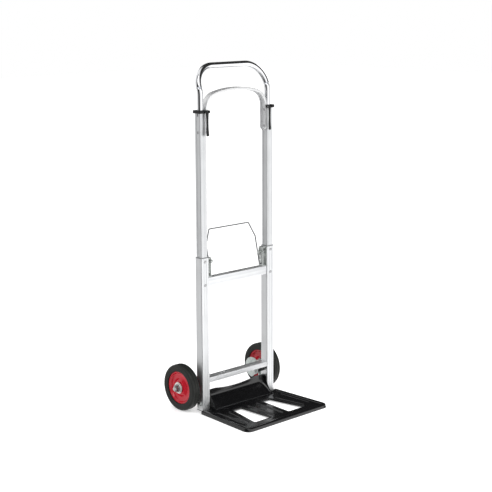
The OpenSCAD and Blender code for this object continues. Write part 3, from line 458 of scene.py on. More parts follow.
def rivet_set(name, places, node):
    """Rivets at a list of places, each with the way that its head faces."""
    mesh = bpy.data.meshes.new(name)
    mesh.from_pydata([place for place, _ in places], [], [])
    facing = mesh.attributes.new("facing", "FLOAT_VECTOR", "POINT")
    for item, (_, way) in zip(facing.data, places):
        item.vector = way
    piece = placed(name, mesh)
    grow(piece, rivet_tree, {"Material": rivet_steel})
    settle(piece, rivet_steel, "rivet_steel", node)


rail_low, rail_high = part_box("rail_right")
rail_in, rail_out = rail_low.x, rail_high.x
rail_mid = (rail_in + rail_out) / 2
hinge_low, hinge_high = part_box("hinge_bracket_right")
flange_wall = 0.002
hinge_wall = 0.0025
bar_rivet_y = 0.005
hinge_rivet_z = 0.009
rivet_rows = []
for sign in SIDES.values():
    for bar in ("upper_crossbar", "lower_crossbar"):
        bar_low, bar_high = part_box(bar)
        bar_z = (bar_low.z + bar_high.z) / 2
        rivet_rows += [((sign * (rail_in - flange_wall), y, bar_z), (-sign, 0, 0))
                       for y in (-bar_rivet_y, bar_rivet_y)]
    upper_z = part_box("upper_crossbar")[0].z + 0.005
    rivet_rows += [((sign * rail_mid, rail_low.y, z), (0, -1, 0))
                   for z in (upper_z, rail_high.z - 0.011)]
    axle_z = (hinge_low.z + hinge_high.z) / 2
    rivet_rows += [((sign * rail_mid, rail_high.y + hinge_wall, z), (0, 1, 0))
                   for z in (axle_z - hinge_rivet_z, axle_z + hinge_rivet_z)]
rivet_set("rail_blind_rivets", rivet_rows, "rail_rivets")


# ---- Latches ----
# Zinc-plated folded brackets inside the rails' tops. In each, a coil spring pushes a pin out
# through the rail, and its collar holds the spring.
zinc_plate = satin_metal("zinc_plated_steel", (0.50, 0.52, 0.51), (0.74, 0.77, 0.75),
                         (0.30, 0.50), (260, 260, 260), smudges=60.0, scratches=0.9, bump=0.2)
spring_steel = satin_metal("bright_spring_wire", (0.45, 0.46, 0.46), (0.66, 0.67, 0.67),
                           (0.22, 0.34), (500, 500, 500), smudges=80.0)
for side in SIDES:
    softened(f"latch_bracket_{side}", zinc_plate, "zinc_steel", 0.0005,
             f"latch_bracket_fold_{side}")
    softened(f"latch_pin_{side}", zinc_plate, "zinc_steel", 0.0006, f"latch_bolt_{side}")

coil_tree, gin, gout = geometry_tree("wound_spring", [
    ("Turns", "NodeSocketFloat", 4.0), ("Mean Radius", "NodeSocketFloat", 0.005),
    ("Wire Radius", "NodeSocketFloat", 0.0007), ("Length", "NodeSocketFloat", 0.02),
    ("Start", "NodeSocketVector", (0, 0, 0)), ("Heading", "NodeSocketFloat", 1.5708),
    ("Material", "NodeSocketMaterial", None)])
helix = add_node(coil_tree, "GeometryNodeCurveSpiral",
                 {"Resolution": 32, "Rotations": gin.outputs["Turns"],
                  "Start Radius": gin.outputs["Mean Radius"],
                  "End Radius": gin.outputs["Mean Radius"], "Height": gin.outputs["Length"]})
wire = add_node(coil_tree, "GeometryNodeCurvePrimitiveCircle",
                {"Resolution": 12, "Radius": gin.outputs["Wire Radius"]})
skin = add_node(coil_tree, "GeometryNodeCurveToMesh",
                {"Curve": helix.outputs["Curve"], "Profile Curve": wire.outputs["Curve"],
                 "Fill Caps": True})
swing = add_node(coil_tree, "ShaderNodeCombineXYZ", {"Y": gin.outputs["Heading"]})
laid = add_node(coil_tree, "GeometryNodeTransform",
                {"Geometry": skin.outputs["Mesh"], "Translation": gin.outputs["Start"],
                 "Rotation": swing.outputs["Vector"]})
flat = add_node(coil_tree, "GeometryNodeRealizeInstances",
                {"Geometry": laid.outputs["Geometry"]})
painted = add_node(coil_tree, "GeometryNodeSetMaterial",
                   {"Geometry": flat.outputs["Geometry"], "Material": gin.outputs["Material"]})
coil_tree.links.new(painted.outputs["Geometry"], gout.inputs["Geometry"])


def spring(name, node, turns, wire_radius, heading, material, slot):
    """A coil spring along X that fills its CAD node's box, wound from its inner end."""
    low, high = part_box(node)
    mesh = bpy.data.meshes.new(name)
    mesh.from_pydata([(0, 0, 0)], [], [])
    piece = placed(name, mesh)
    length = high.x - low.x - 2 * wire_radius
    start_x = low.x + wire_radius if heading > 0 else high.x - wire_radius
    start = (start_x, (low.y + high.y) / 2, (low.z + high.z) / 2)
    grow(piece, coil_tree, {"Turns": float(turns), "Wire Radius": wire_radius,
                            "Mean Radius": (high.y - low.y) / 2 - wire_radius,
                            "Length": length, "Start": start,
                            "Heading": heading * math.pi / 2, "Material": material})
    settle(piece, material, slot, node)


for side, sign in SIDES.items():
    spring(f"latch_coil_{side}", f"latch_spring_{side}", 5, 0.0007, sign, spring_steel,
           "spring_steel")


# ---- Bail ----
# One bent and zinc-plated steel wire. Its two hooked feet turn in the latch brackets, and its
# drawn-in top is what a hand pulls to free both latches.
def rounded_route(corners, radius, step=6.0):
    """The points of a route of straight runs whose corners are bent to a radius."""
    route = [Vector(corners[0])]
    for before, corner, after in zip(corners, corners[1:], corners[2:]):
        corner = Vector(corner)
        came = (corner - Vector(before)).normalized()
        goes = (Vector(after) - corner).normalized()
        turned = came.angle(goes)
        cut = radius * math.tan(turned / 2)
        begin = corner - came * cut
        centre = begin + (goes - came * goes.dot(came)).normalized() * radius
        spin_axis = came.cross(goes).normalized()
        count = max(2, math.ceil(math.degrees(turned) / step))
        for i in range(count + 1):
            arc = Matrix.Rotation(turned * i / count, 3, spin_axis)
            route.append(centre + arc @ (begin - centre))
    route.append(Vector(corners[-1]))
    return route


def join_rings(shape, rings, closed=True):
    """Faces between neighbouring rings of points, or between rows that stay open."""
    for a, b in zip(rings, rings[1:]):
        for k in range(len(a) if closed else len(a) - 1):
            n = (k + 1) % len(a)
            shape.faces.new((a[k], a[n], b[n], b[k]))


def made_piece(name, shape):
    """A piece from its finished shape, with its faces outwards."""
    bmesh.ops.recalc_face_normals(shape, faces=shape.faces)
    mesh = bpy.data.meshes.new(name)
    shape.to_mesh(mesh)
    shape.free()
    return placed(name, mesh)


def swept_round(name, route, radius, sides=20, cap=0.35):
    """A round bar or wire along a route, with slightly domed ends and its faces outwards."""
    shape = bmesh.new()
    normal = None
    rings = []
    for i, point in enumerate(route):
        ahead = route[min(i + 1, len(route) - 1)] - point
        behind = point - route[max(i - 1, 0)]
        way = (ahead.normalized() + behind.normalized()).normalized()
        if normal is None:
            normal = way.orthogonal().normalized()
        normal = (normal - way * normal.dot(way)).normalized()
        other = way.cross(normal)
        rings.append([shape.verts.new(point + radius * (
            normal * math.cos(2 * math.pi * k / sides)
            + other * math.sin(2 * math.pi * k / sides))) for k in range(sides)])
    join_rings(shape, rings)
    for ring, inner, outward in ((rings[0], route[1], -1), (rings[-1], route[-2], 1)):
        end = route[0] if outward < 0 else route[-1]
        way = (end - inner).normalized()
        tip = shape.verts.new(end + way * radius * cap)
        for k in range(sides):
            n = (k + 1) % sides
            shape.faces.new((ring[n], ring[k], tip) if outward < 0 else
                            (ring[k], ring[n], tip))
    return made_piece(name, shape)


bail_wire = 0.002
bail_leg_x = 0.1057
bail_top_x = bail_leg_x - 0.021
bail_foot_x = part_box("bail")[1].x
bail_pivot = Vector((0, 0, 0.445))
bail_lean = math.radians(12.5)
bail_leg = 0.092
bail_height = 0.139
bail_bend = 0.0052
bail_right = [(bail_top_x, bail_height), (bail_leg_x, bail_leg), (bail_leg_x, 0),
              (bail_foot_x, 0)]
bail_shape = [(-x, h) for x, h in reversed(bail_right)] + bail_right
bail_corners = [bail_pivot + Vector((x, h * math.sin(bail_lean), h * math.cos(bail_lean)))
                for x, h in bail_shape]
bail = swept_round("bail_wire", rounded_route(bail_corners, bail_bend), bail_wire, 16)
wire_zinc = satin_metal("plated_bail_wire", (0.14, 0.145, 0.15), (0.30, 0.305, 0.31),
                        (0.20, 0.34), (300, 300, 60), smudges=70.0)
settle(bail, wire_zinc, "zinc_steel", "bail")


# ---- Middle frame ----
# Thinner square tubes that slide in the rails, with a shallow groove down each side for the
# latch pins and a grey guide in the lower end.
mid_metal = satin_metal("satin_middle_aluminium", (0.60, 0.61, 0.62), (0.79, 0.80, 0.81),
                        (0.34, 0.46), (1000, 1000, 3.5), scratches=0.9)
give(mid_metal, *pair("mid_tube"))
give(grey_plastic, "mid_plugs")

# The arch is an aluminium strip folded to a channel and bent over from tube to tube. Its round
# feet are riveted to the tubes' inner faces.
arch_low, arch_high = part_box("arch")
arch_half_x = arch_high.x
arch_half_y = arch_high.y
arch_sheet = 0.002
arch_flange = 0.008
crown_radius = 0.3575
arch_corner = 0.054
crown_z = arch_high.z - crown_radius
corner_x = arch_half_x - arch_corner
corner_z = crown_z + math.sqrt((crown_radius - arch_corner) ** 2 - corner_x ** 2)
corner_turn = math.atan2(corner_z - crown_z, corner_x)


def arch_stations():
    """The points of the arch's outer line with their outward directions, right to left."""
    stations = [(Vector((arch_half_x, 0, z)), Vector((1, 0, 0)))
                for z in [arch_low.z + arch_half_y * (1 - math.cos(math.radians(a)))
                          for a in range(6, 91, 7)]]
    stations.append((Vector((arch_half_x, 0, corner_z - 0.001)), Vector((1, 0, 0))))
    for i in range(17):
        a = corner_turn * i / 16
        out = Vector((math.cos(a), 0, math.sin(a)))
        stations.append((Vector((corner_x, 0, corner_z)) + out * arch_corner, out))
    for i in range(1, 20):
        a = corner_turn + (math.pi / 2 - corner_turn) * i / 20
        out = Vector((math.cos(a), 0, math.sin(a)))
        stations.append((Vector((0, 0, crown_z)) + out * crown_radius, out))
    mirrored = [(Vector((-p.x, 0, p.z)), Vector((-o.x, 0, o.z))) for p, o in reversed(stations)]
    top = (Vector((0, 0, crown_z + crown_radius)), Vector((0, 0, 1)))
    return stations + [top] + mirrored


def channel_section(half, round_r=0.0016):
    """The channel's closed outline as (inward depth, y), with its outer edges rounded."""
    outline = [(arch_flange, -half), (round_r, -half)]
    outline += [(round_r * (1 - math.sin(a)), -half + round_r * (1 - math.cos(a)))
                for a in (math.radians(30), math.radians(60))]
    outline += [(0, -half + round_r), (0, half - round_r)]
    outline += [(round_r * (1 - math.sin(a)), half - round_r * (1 - math.cos(a)))
                for a in (math.radians(60), math.radians(30))]
    outline += [(round_r, half), (arch_flange, half), (arch_flange, half - arch_sheet),
                (arch_sheet, half - arch_sheet), (arch_sheet, -half + arch_sheet),
                (arch_flange, -half + arch_sheet)]
    return outline


shape = bmesh.new()
rings = []
for point, out in arch_stations():
    above = point.z - arch_low.z
    half = arch_half_y
    if above < arch_half_y:
        half = math.sqrt(max(arch_half_y ** 2 - (arch_half_y - above) ** 2, 1e-8))
    half = max(half, arch_sheet + 0.0017)
    rings.append([shape.verts.new(point - out * depth + Vector((0, y, 0)))
                  for depth, y in channel_section(half)])
join_rings(shape, rings)
shape.faces.new(rings[0])
shape.faces.new(rings[-1])
bmesh.ops.triangulate(shape, faces=[f for f in shape.faces if len(f.verts) > 4])
arch = made_piece("arch_channel", shape)
arch_metal = satin_metal("brushed_arch_aluminium", (0.86, 0.865, 0.87), (0.95, 0.955, 0.96),
                         (0.46, 0.60), (60, 700, 60), smudges=14.0)
settle(arch, arch_metal, "mid_aluminium", "arch")

mid_low, mid_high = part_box("mid_tube_right")
arch_rows = [((sign * x, 0, z), (sign * way, 0, 0)) for sign in SIDES.values()
             for z in (arch_low.z + 0.013, mid_high.z - 0.010)
             for x, way in ((mid_low.x - arch_sheet, -1), (mid_high.x, 1))]
rivet_set("arch_blind_rivets", arch_rows, "arch_rivets")


# ---- Collars and flip levers ----
# Black moulded collars cap the middle tubes and grip the handle's legs. Each has two lugs that
# carry a steel pin, and on it a thin black lever that hangs down the tube's front.
black_plastic = moulded("black_nylon", (0.004, 0.004, 0.0045), (0.012, 0.012, 0.013),
                        (0.28, 0.42), 1500, bump=0.15)
for side in SIDES:
    softened(f"collar_{side}", black_plastic, "black_plastic", 0.0007, f"grip_collar_{side}")
softened("lever_pins", zinc_plate, "rivet_steel", 0.0003, "lever_pin_pair")


def lofted(name, stations, sides=28, squareness=3.2):
    """A closed bar along Z through rounded-square sections (centre, half width, half depth)."""
    shape = bmesh.new()
    rings = []
    for centre, half_w, half_d in stations:
        ring = []
        for k in range(sides):
            a = 2 * math.pi * k / sides
            c, s = math.cos(a), math.sin(a)
            size = (abs(c) ** squareness + abs(s) ** squareness) ** (-1 / squareness)
            ring.append(shape.verts.new(centre + Vector((half_w * size * c,
                                                         half_d * size * s, 0))))
        rings.append(ring)
    join_rings(shape, rings)
    shape.faces.new(rings[0])
    shape.faces.new(rings[-1])
    return made_piece(name, shape)


for side, sign in SIDES.items():
    lever_low, lever_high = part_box(f"lever_{side}")
    lever_x = (lever_low.x + lever_high.x) / 2
    lever_y = (lever_low.y + lever_high.y) / 2
    eye = (lever_high.y - lever_low.y) / 2
    half_w = (lever_high.x - lever_low.x) / 2
    # The blade narrows at mid length, swells towards the eye and curls forward at its tip
    stations = []
    for i in range(45):
        z = lever_low.z + (lever_high.z - lever_low.z) * (1 - math.cos(math.pi * i / 44)) / 2
        below, above = z - lever_low.z, lever_high.z - z
        depth = 0.0021 + 0.0021 * math.exp(-(above / 0.010) ** 2)
        depth += 0.0006 * math.exp(-(below / 0.014) ** 2)
        width = half_w - 0.0011 * math.sin(math.pi * min(1, above / 0.074)) ** 2
        if above < eye:
            depth = math.sqrt(max(eye ** 2 - (eye - above) ** 2, 2e-7))
        if below < 0.0028:
            shrink = math.sqrt(max(1 - (1 - below / 0.0028) ** 2, 0.02))
            depth, width = depth * shrink, width * (0.6 + 0.4 * shrink)
        curl = -0.0014 * math.exp(-(below / 0.012) ** 2)
        stations.append((Vector((lever_x, lever_y + curl, z)), width, depth))
    lever = lofted(f"flip_lever_{side}", stations)
    settle(lever, black_plastic, "black_plastic", f"lever_{side}")


# ---- Handle ----
# One bright chrome-plated steel tube: two legs that slide in the middle tubes, a knee that leans
# them back, and two wide bends into the grip bar. Plastic plugs close the legs' ends.
handle_low, handle_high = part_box("handle")
tube_radius = 0.0095
handle_x = handle_high.x - tube_radius
handle_lean = math.radians(20.5)
knee_radius = 0.060
grip_radius = 0.071
grip_z = handle_high.z - tube_radius
knee_z = (grip_z - grip_radius * math.cos(handle_lean)
          - knee_radius * (math.sin(handle_lean) - math.tan(handle_lean / 2)))
grip_y = (grip_z - knee_z) * math.tan(handle_lean)
leg_top = rounded_route([(handle_x, 0, handle_low.z), (handle_x, 0, knee_z),
                         (handle_x, grip_y, grip_z)], knee_radius, step=2.0)
grip_bend = rounded_route([leg_top[-2], (handle_x, grip_y, grip_z), (0, grip_y, grip_z)],
                          grip_radius, step=3.0)
half_route = leg_top[:-1] + grip_bend[1:-1]
handle_route = half_route + [Vector((-p.x, p.y, p.z)) for p in reversed(half_route)]
handle = swept_round("chrome_handle", handle_route, tube_radius, 48, cap=0.0)
chrome, tree, shader, place = blank_material("chrome_plate", (0.86, 0.87, 0.89), 0.05, 1.0)
marks = use_group(tree, handling_marks, place=place, smudge_size=34.0, scratches=0.6)
haze = remap(tree, marks.outputs["Mask"], 0.35, 0.75, 0.035, 0.16)
bright = blend(tree, marks.outputs["Mask"], (0.80, 0.81, 0.83, 1), (0.90, 0.905, 0.92, 1))
ripple = add_node(tree, "ShaderNodeTexNoise", {"Vector": place, "Scale": 55.0, "Detail": 1.0})
surface(tree, shader, bright, haze, ripple.outputs["Fac"], 0.05, 0.001)
settle(handle, chrome, "chrome_tube", "handle")
softened("handle_plugs", black_plastic, "black_plastic", 0.0006, "handle_end_plugs")


# ---- Toe plate ----
# One steel sheet, pressed and painted gloss black: a rolled rim, two strap openings with lips
# turned down, stiffening beads and a scoop that rises into the folded web between the ears.
def rounded_polygon(corners, inset, radius, steps=5):
    """A convex outline (counter-clockwise) drawn in by inset, with its corners rounded."""
    lines = []
    for a, b in zip(corners, corners[1:] + corners[:1]):
        way = (Vector(b) - Vector(a)).normalized()
        lines.append((Vector(a) + Vector((-way.y, way.x)) * inset, way))
    points = []
    for (p0, d0), (p1, d1) in zip(lines[-1:] + lines[:-1], lines):
        reach = (p1 - p0).cross(d1) / d0.cross(d1)
        corner = p0 + d0 * reach
        turned = d0.angle(d1)
        r = max(radius - inset, 0.0008)
        cut = r * math.tan(turned / 2)
        centre = corner - d0 * cut + Vector((-d0.y, d0.x)) * r
        start = math.atan2(-d0.x, d0.y)
        points += [centre + r * Vector((math.cos(start + turned * i / steps),
                                        math.sin(start + turned * i / steps)))
                   for i in range(steps + 1)]
    return points


plate_low, plate_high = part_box("toe_plate")
plate_front = plate_low.y
panel_top = 0.009
rear_y = -0.016
rear_half = 0.165
front_half = plate_high.x
corner_r = 0.020
ear_in = 0.1228
ear_out = 0.1258
scoop_y = -0.043
side_way = Vector((front_half - rear_half, plate_front - rear_y)).normalized()
side_out = Vector((-side_way.y, side_way.x))
corner_y = plate_front + corner_r
corner_at_x = (rear_half + (front_half - rear_half) * (rear_y - corner_y)
               / (rear_y - plate_front)) - corner_r / side_out.x
rim_levels = [(0.0, 0.0), (0.0, 0.0076), (0.0004, 0.0092), (0.0013, 0.0106), (0.0027, 0.0116),
              (0.0045, 0.0120), (0.0105, 0.0120), (0.0120, 0.0117), (0.0135, 0.0109),
              (0.0150, 0.0098), (0.0162, 0.0092), (0.0178, 0.0090)]


def rim_line(inset):
    """Half the plate's edge, drawn in by inset, from beside the ear round to the front."""
    start = math.atan2(side_out.y, side_out.x)
    rear_x = (rear_half + (front_half - rear_half) * inset / (rear_y - plate_front)
              - inset / side_out.x)
    line = [Vector((ear_in, rear_y - inset)), Vector((rear_x, rear_y - inset))]
    radius = corner_r - inset
    line += [Vector((corner_at_x, corner_y)) + radius * Vector((math.cos(a), math.sin(a)))
             for a in (start + (-math.pi / 2 - start) * i / 10 for i in range(11))]
    return line


sheet = bmesh.new()


def pressed(rings, closed):
    """Part of the sheet, over neighbouring rows of points (x, y, z)."""
    rows = [[sheet.verts.new(p) for p in ring] for ring in rings]
    join_rings(sheet, rows, closed)
    return rows


rim_rings = []
for inset, z in rim_levels:
    half = rim_line(inset)
    whole = half + [Vector((-p.x, p.y)) for p in reversed(half)]
    rim_rings.append([Vector((p.x, p.y, z)) for p in whole])
pressed(rim_rings, closed=False)

# The panel's holes: lips round the openings, side troughs and raised beads
features = []
for sign in SIDES.values():
    opening = [Vector((sign * x, y)) for x, y in ((0.045, -0.073), (0.038, -0.205),
                                                  (0.110, -0.205), (0.082, -0.073))]
    trough = [Vector((sign * x, y)) for x, y in ((0.131, -0.056), (0.133, -0.192),
                                                 (0.154, -0.192), (0.148, -0.056))]
    bead = [Vector((sign * x, y)) for x, y in ((0.012, -0.075), (0.012, -0.205),
                                               (0.025, -0.205), (0.025, -0.075))]
    slant = [Vector((sign * x, y)) for x, y in ((0.098, -0.078), (0.119, -0.194),
                                                (0.127, -0.194), (0.107, -0.078))]
    for outline, levels, radius, filled in (
            (opening, [(-0.0042, 0.0090), (-0.0030, 0.0099), (-0.0016, 0.0097),
                       (-0.0005, 0.0086), (0.0, 0.0070), (0.0, 0.0035)], 0.005, False),
            (trough, [(-0.0004, 0.0090), (0.0010, 0.0088), (0.0028, 0.0074),
                      (0.0042, 0.0066), (0.0056, 0.0064)], 0.009, True),
            (bead, [(0.0, 0.0090), (0.0008, 0.0096), (0.0020, 0.0110), (0.0034, 0.0118),
                    (0.0046, 0.0120)], 0.006, True),
            (slant, [(0.0, 0.0090), (0.0006, 0.0094), (0.0016, 0.0102), (0.0028, 0.0106)],
             0.004, True)):
        if sign < 0:
            outline = outline[::-1]
        rings = [[Vector((p.x, p.y, z)) for p in rounded_polygon(outline, inset, radius)]
                 for inset, z in levels]
        rows = pressed(rings, closed=True)
        if filled:
            sheet.faces.new(rows[-1])
        features.append(rings[0])

# The scoop and the web: columns across the truck, each following the same rising profile
web_straight = 0.1048
web_turn = 0.0182
columns = [(web_straight * (i - 16) / 16, 0.0) for i in range(33)]
for i in range(1, 10):
    a = math.radians(10 * i)
    column_x = web_straight + web_turn * math.sin(a)
    columns.append((column_x, web_turn * (math.cos(a) - 1)))
    columns.insert(0, (-column_x, web_turn * (math.cos(a) - 1)))
rise = [(-0.0430, 0.0090), (-0.0400, 0.0092), (-0.0370, 0.0102), (-0.0340, 0.0120),
        (-0.0300, 0.0148), (-0.0150, 0.0258), (-0.0060, 0.0326), (-0.0010, 0.0368),
        (0.0025, 0.0410), (0.0044, 0.0450), (0.0050, 0.0490)]
scoop_rows = []
for y, z in rise:
    follow = min(1, (z - panel_top) / 0.030)
    scoop_rows.append([Vector((x, y + forward_by * follow, z)) for x, forward_by in columns])
web_y, web_foot = rise[-1]
web_sag_r = 0.472
web_sag_z = 0.529
web_peak = 0.0645
web_tops = [min(web_sag_z - math.sqrt(web_sag_r ** 2 - x ** 2), web_peak) for x, _ in columns]
for share in (0.5, 1.0):
    scoop_rows.append([Vector((x, web_y + forward_by, web_foot + (top - web_foot) * share))
                       for (x, forward_by), top in zip(columns, web_tops)])
pressed(scoop_rows, closed=False)

panel_edge = [Vector((p.x, p.y, panel_top)) for p in rim_rings[-1]]
panel_edge += [Vector((x, scoop_y, panel_top)) for x, _ in columns]
loops = [panel_edge] + features
corners = [p for loop in loops for p in loop]
panel_verts = [sheet.verts.new(p) for p in corners]
for a, b, c in tessellate_polygon(loops):
    sheet.faces.new((panel_verts[a], panel_verts[b], panel_verts[c]))
bmesh.ops.remove_doubles(sheet, verts=sheet.verts, dist=1e-5)
bmesh.ops.recalc_face_normals(sheet, faces=sheet.faces)
sheet.faces.ensure_lookup_table()
highest = max(sheet.faces, key=lambda f: (f.calc_area(), f.normal.z))
if highest.normal.z < 0:
    bmesh.ops.reverse_faces(sheet, faces=sheet.faces)
# The sheet never folds under itself, so a face that still looks down is turned up
bmesh.ops.reverse_faces(sheet, faces=[f for f in sheet.faces if f.normal.z < -0.05])
mesh = bpy.data.meshes.new("toe_plate_pressing")
sheet.to_mesh(mesh)
sheet.free()
pressing = placed("toe_plate_pressing", mesh)
wall = pressing.modifiers.new("sheet_thickness", "SOLIDIFY")
wall.thickness = 0.0022
wall.offset = -1
bake_modifiers(pressing)

# Edges where paint rubs thin, found by how far the rounded normal turns from the true one
edge_wear, gin, gout = node_group(
    "edge_wear",
    [("Place", "NodeSocketVector", None), ("Width", "NodeSocketFloat", 0.0008),
     ("Amount", "NodeSocketFloat", 0.5)],
    [("Mask", "NodeSocketFloat")])
rounded = add_node(edge_wear, "ShaderNodeBevel", {"Radius": gin.outputs["Width"]}, samples=4)
true_way = add_node(edge_wear, "ShaderNodeNewGeometry")
agree = add_node(edge_wear, "ShaderNodeVectorMath",
                 {0: rounded.outputs["Normal"], 1: true_way.outputs["Normal"]},
                 operation="DOT_PRODUCT")
edge = remap(edge_wear, agree.outputs["Value"], 0.985, 0.90)
chips = add_node(edge_wear, "ShaderNodeTexNoise",
                 {"Vector": gin.outputs["Place"], "Scale": 420.0, "Detail": 4.0})
few = remap(edge_wear, chips.outputs["Fac"], 0.50, 0.62)
rubbed = add_node(edge_wear, "ShaderNodeMath", {0: edge, 1: few}, operation="MULTIPLY")
scaled = add_node(edge_wear, "ShaderNodeMath", {0: rubbed.outputs["Value"],
                                                1: gin.outputs["Amount"]},
                  operation="MULTIPLY")
edge_wear.links.new(scaled.outputs["Value"], gout.inputs["Mask"])


def gloss_paint(name, dark, light, bare, rough, wear, coat):
    """Sprayed enamel: slight orange peel, smudged gloss and edges rubbed towards bare metal."""
    material, tree, shader, place = blank_material(name, dark, rough[0])
    marks = use_group(tree, handling_marks, place=place, smudge_size=22.0, scratches=0.35)
    edges = use_group(tree, edge_wear, place=place, amount=wear)
    tones = blend(tree, marks.outputs["Mask"], (*dark, 1), (*light, 1))
    worn = blend(tree, edges.outputs["Mask"], tones, (*bare, 1))
    gloss = remap(tree, marks.outputs["Mask"], 0.3, 0.7, *rough)
    peel = add_node(tree, "ShaderNodeTexNoise", {"Vector": place, "Scale": 480.0,
                                                 "Detail": 1.0})
    surface(tree, shader, worn, gloss, peel.outputs["Fac"], 0.12, 0.0004)
    shader.inputs["Coat Weight"].default_value = coat
    shader.inputs["Coat Roughness"].default_value = 0.12
    return material


black_paint = gloss_paint("black_enamel", (0.0025, 0.0025, 0.003), (0.006, 0.006, 0.0065),
                          (0.12, 0.12, 0.13), (0.10, 0.22), 0.20, 0.25)
settle(pressing, black_paint, "black_paint", "toe_plate")


def flat_plate(name, outline, x0, x1, radius):
    """A plate drawn in the Y-Z plane from x0 to x1, with rounded edges."""
    shape = bmesh.new()
    near = [shape.verts.new((x0, y, z)) for y, z in outline]
    far = [shape.verts.new((x1, y, z)) for y, z in outline]
    shape.faces.new(near)
    shape.faces.new(far)
    join_rings(shape, [near, far])
    piece = made_piece(name, shape)
    round_edges(piece, radius, 3)
    return piece


ear_line = [(0.008, 0), (0.012, 0.012), (0.012, 0.060), (0.0105, 0.0642), (0.006, 0.066),
            (-0.004, 0.066), (-0.0085, 0.0635), (-0.013, 0.056), (-0.0145, 0.048),
            (-0.0185, 0.037), (-0.0235, 0.028), (-0.0325, 0.018), (-0.043, 0.0118),
            (-0.043, 0.0)]
web_line = [(-0.012, 0.0), (0.008, 0.0), (0.008, 0.050), (0.0056, 0.050), (0.0056, 0.003),
            (-0.012, 0.003)]
web = flat_plate("toe_plate_heel", web_line, -ear_in, ear_in, 0.0005)
settle(web, black_paint, "black_paint", "toe_plate")
for side, sign in SIDES.items():
    ear = flat_plate(f"toe_plate_ear_{side}", ear_line, sign * ear_in, sign * ear_out, 0.0008)
    settle(ear, black_paint, "black_paint", "toe_plate")
softened("pivot_pins", zinc_plate, "zinc_steel", 0.0008, "toe_pivot_pins")


# ---- Fold spring ----
# A black coil spring on a plated rod under the lower crossbar, between its hanger and the right
# rail. It snaps the toe plate open or shut.
spring_black = moulded("black_spring_wire", (0.010, 0.010, 0.011), (0.024, 0.024, 0.026),
                       (0.30, 0.42), 900)
spring("fold_coil", "fold_spring", 11, 0.0011, 1, spring_black, "spring_steel")
softened("spring_hanger", zinc_plate, "zinc_steel", 0.0004, "spring_hanger_plate")
softened("spring_rod", zinc_plate, "zinc_steel", 0.0005, "spring_guide_rod")


# ---- Wheel hinges, brackets and axles ----
# Galvanised steel: a hinge riveted behind each rail, its pin, and a cheek plate with a straight
# upper edge that carries the axle. A spacer, washer, nut and split pin hold the wheel.
galvanised = satin_metal("galvanised_steel", (0.50, 0.55, 0.53), (0.74, 0.79, 0.77),
                         (0.30, 0.48), (120, 120, 120), smudges=44.0, scratches=0.7, bump=0.15)
for side in SIDES:
    for node, radius, name in (("hinge_bracket", 0.0006, "hinge_knuckles"),
                               ("wheel_bracket", 0.0006, "wheel_cheek"),
                               ("hinge_pin", 0.0006, "hinge_pintle"),
                               ("axle", 0.0008, "axle_bolt"),
                               ("spacer", 0.0004, "axle_spacer")):
        softened(f"{node}_{side}", galvanised if "bracket" in node else zinc_plate,
                 "zinc_steel", radius, f"{name}_{side}")


def round_axle(centre, x, r, angle):
    """The place at a distance along the axle, a radius and an angle from the top."""
    return (x, centre.y + r * math.sin(angle), centre.z + r * math.cos(angle))


def chamfered_nut(name, x0, thickness, flat_r, bore_r, centre, sign):
    """A washer-faced six-sided nut along X, its corners chamfered at both ends."""
    shape = bmesh.new()
    count = 72
    face_share = 0.97
    chamfer_slope = 1.9
    levels = [i / 14 for i in range(15)]
    rings = []
    for side_in in (False, True):
        for share in (levels if not side_in else levels[::-1]):
            along = thickness * share
            reach = flat_r * face_share + min(along, thickness - along) * chamfer_slope
            ring = []
            for k in range(count):
                a = 2 * math.pi * k / count
                hex_r = flat_r / math.cos((a + math.pi / 6) % (math.pi / 3) - math.pi / 6)
                r = bore_r if side_in else min(hex_r, reach)
                ring.append(shape.verts.new(round_axle(centre, x0 + sign * along, r, a)))
            rings.append(ring)
    join_rings(shape, rings + rings[:1])
    return made_piece(name, shape)


def revolved(name, outline, x0, centre, sign, steps=128):
    """A closed outline of (radius, distance along the axle) turned about the axle."""
    shape = bmesh.new()
    rings = []
    for i in range(steps):
        a = 2 * math.pi * i / steps
        rings.append([shape.verts.new(round_axle(centre, x0 + sign * along, r, a))
                      for r, along in outline])
    join_rings(shape, rings + rings[:1])
    return made_piece(name, shape)


dark_nut = satin_metal("oiled_nut_steel", (0.20, 0.20, 0.21), (0.42, 0.42, 0.43),
                       (0.28, 0.42), (400, 400, 400), smudges=90.0)
axle_bore = 0.00605
washer_wall = 0.0017
for side, sign in SIDES.items():
    nut_low, nut_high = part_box(f"axle_nut_{side}")
    axle_at = (nut_low + nut_high) / 2
    nut_in = nut_low.x if sign > 0 else nut_high.x
    washer_line = [(axle_bore, 0), (0.0107, 0), (0.0110, 0.0003), (0.0110, 0.0014),
                   (0.0107, washer_wall), (axle_bore, washer_wall)]
    washer = revolved(f"axle_washer_{side}", washer_line, nut_in, axle_at, sign, 64)
    settle(washer, zinc_plate, "zinc_steel", f"axle_nut_{side}")
    nut = chamfered_nut(f"axle_hex_nut_{side}", nut_in + sign * washer_wall, 0.007, 0.0095,
                        axle_bore, axle_at, sign)
    settle(nut, dark_nut, "zinc_steel", f"axle_nut_{side}")
    pin_low, pin_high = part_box(f"cotter_{side}")
    pin_at = (pin_low + pin_high) / 2
    eye_r = 0.0026
    pin_route = [Vector((pin_at.x, pin_at.y + 0.0004, pin_low.z + 0.0005))]
    pin_route += [Vector((pin_at.x, pin_at.y + eye_r * math.sin(a),
                          pin_high.z + 0.0004 - eye_r * math.cos(a)))
                  for a in (math.radians(20 + 16 * i) for i in range(21))]
    pin_route.append(Vector((pin_at.x, pin_at.y - 0.0004, pin_low.z + 0.0001)))
    split_pin = swept_round(f"split_pin_{side}", pin_route, 0.00075, 12)
    settle(split_pin, zinc_plate, "zinc_steel", f"cotter_{side}")


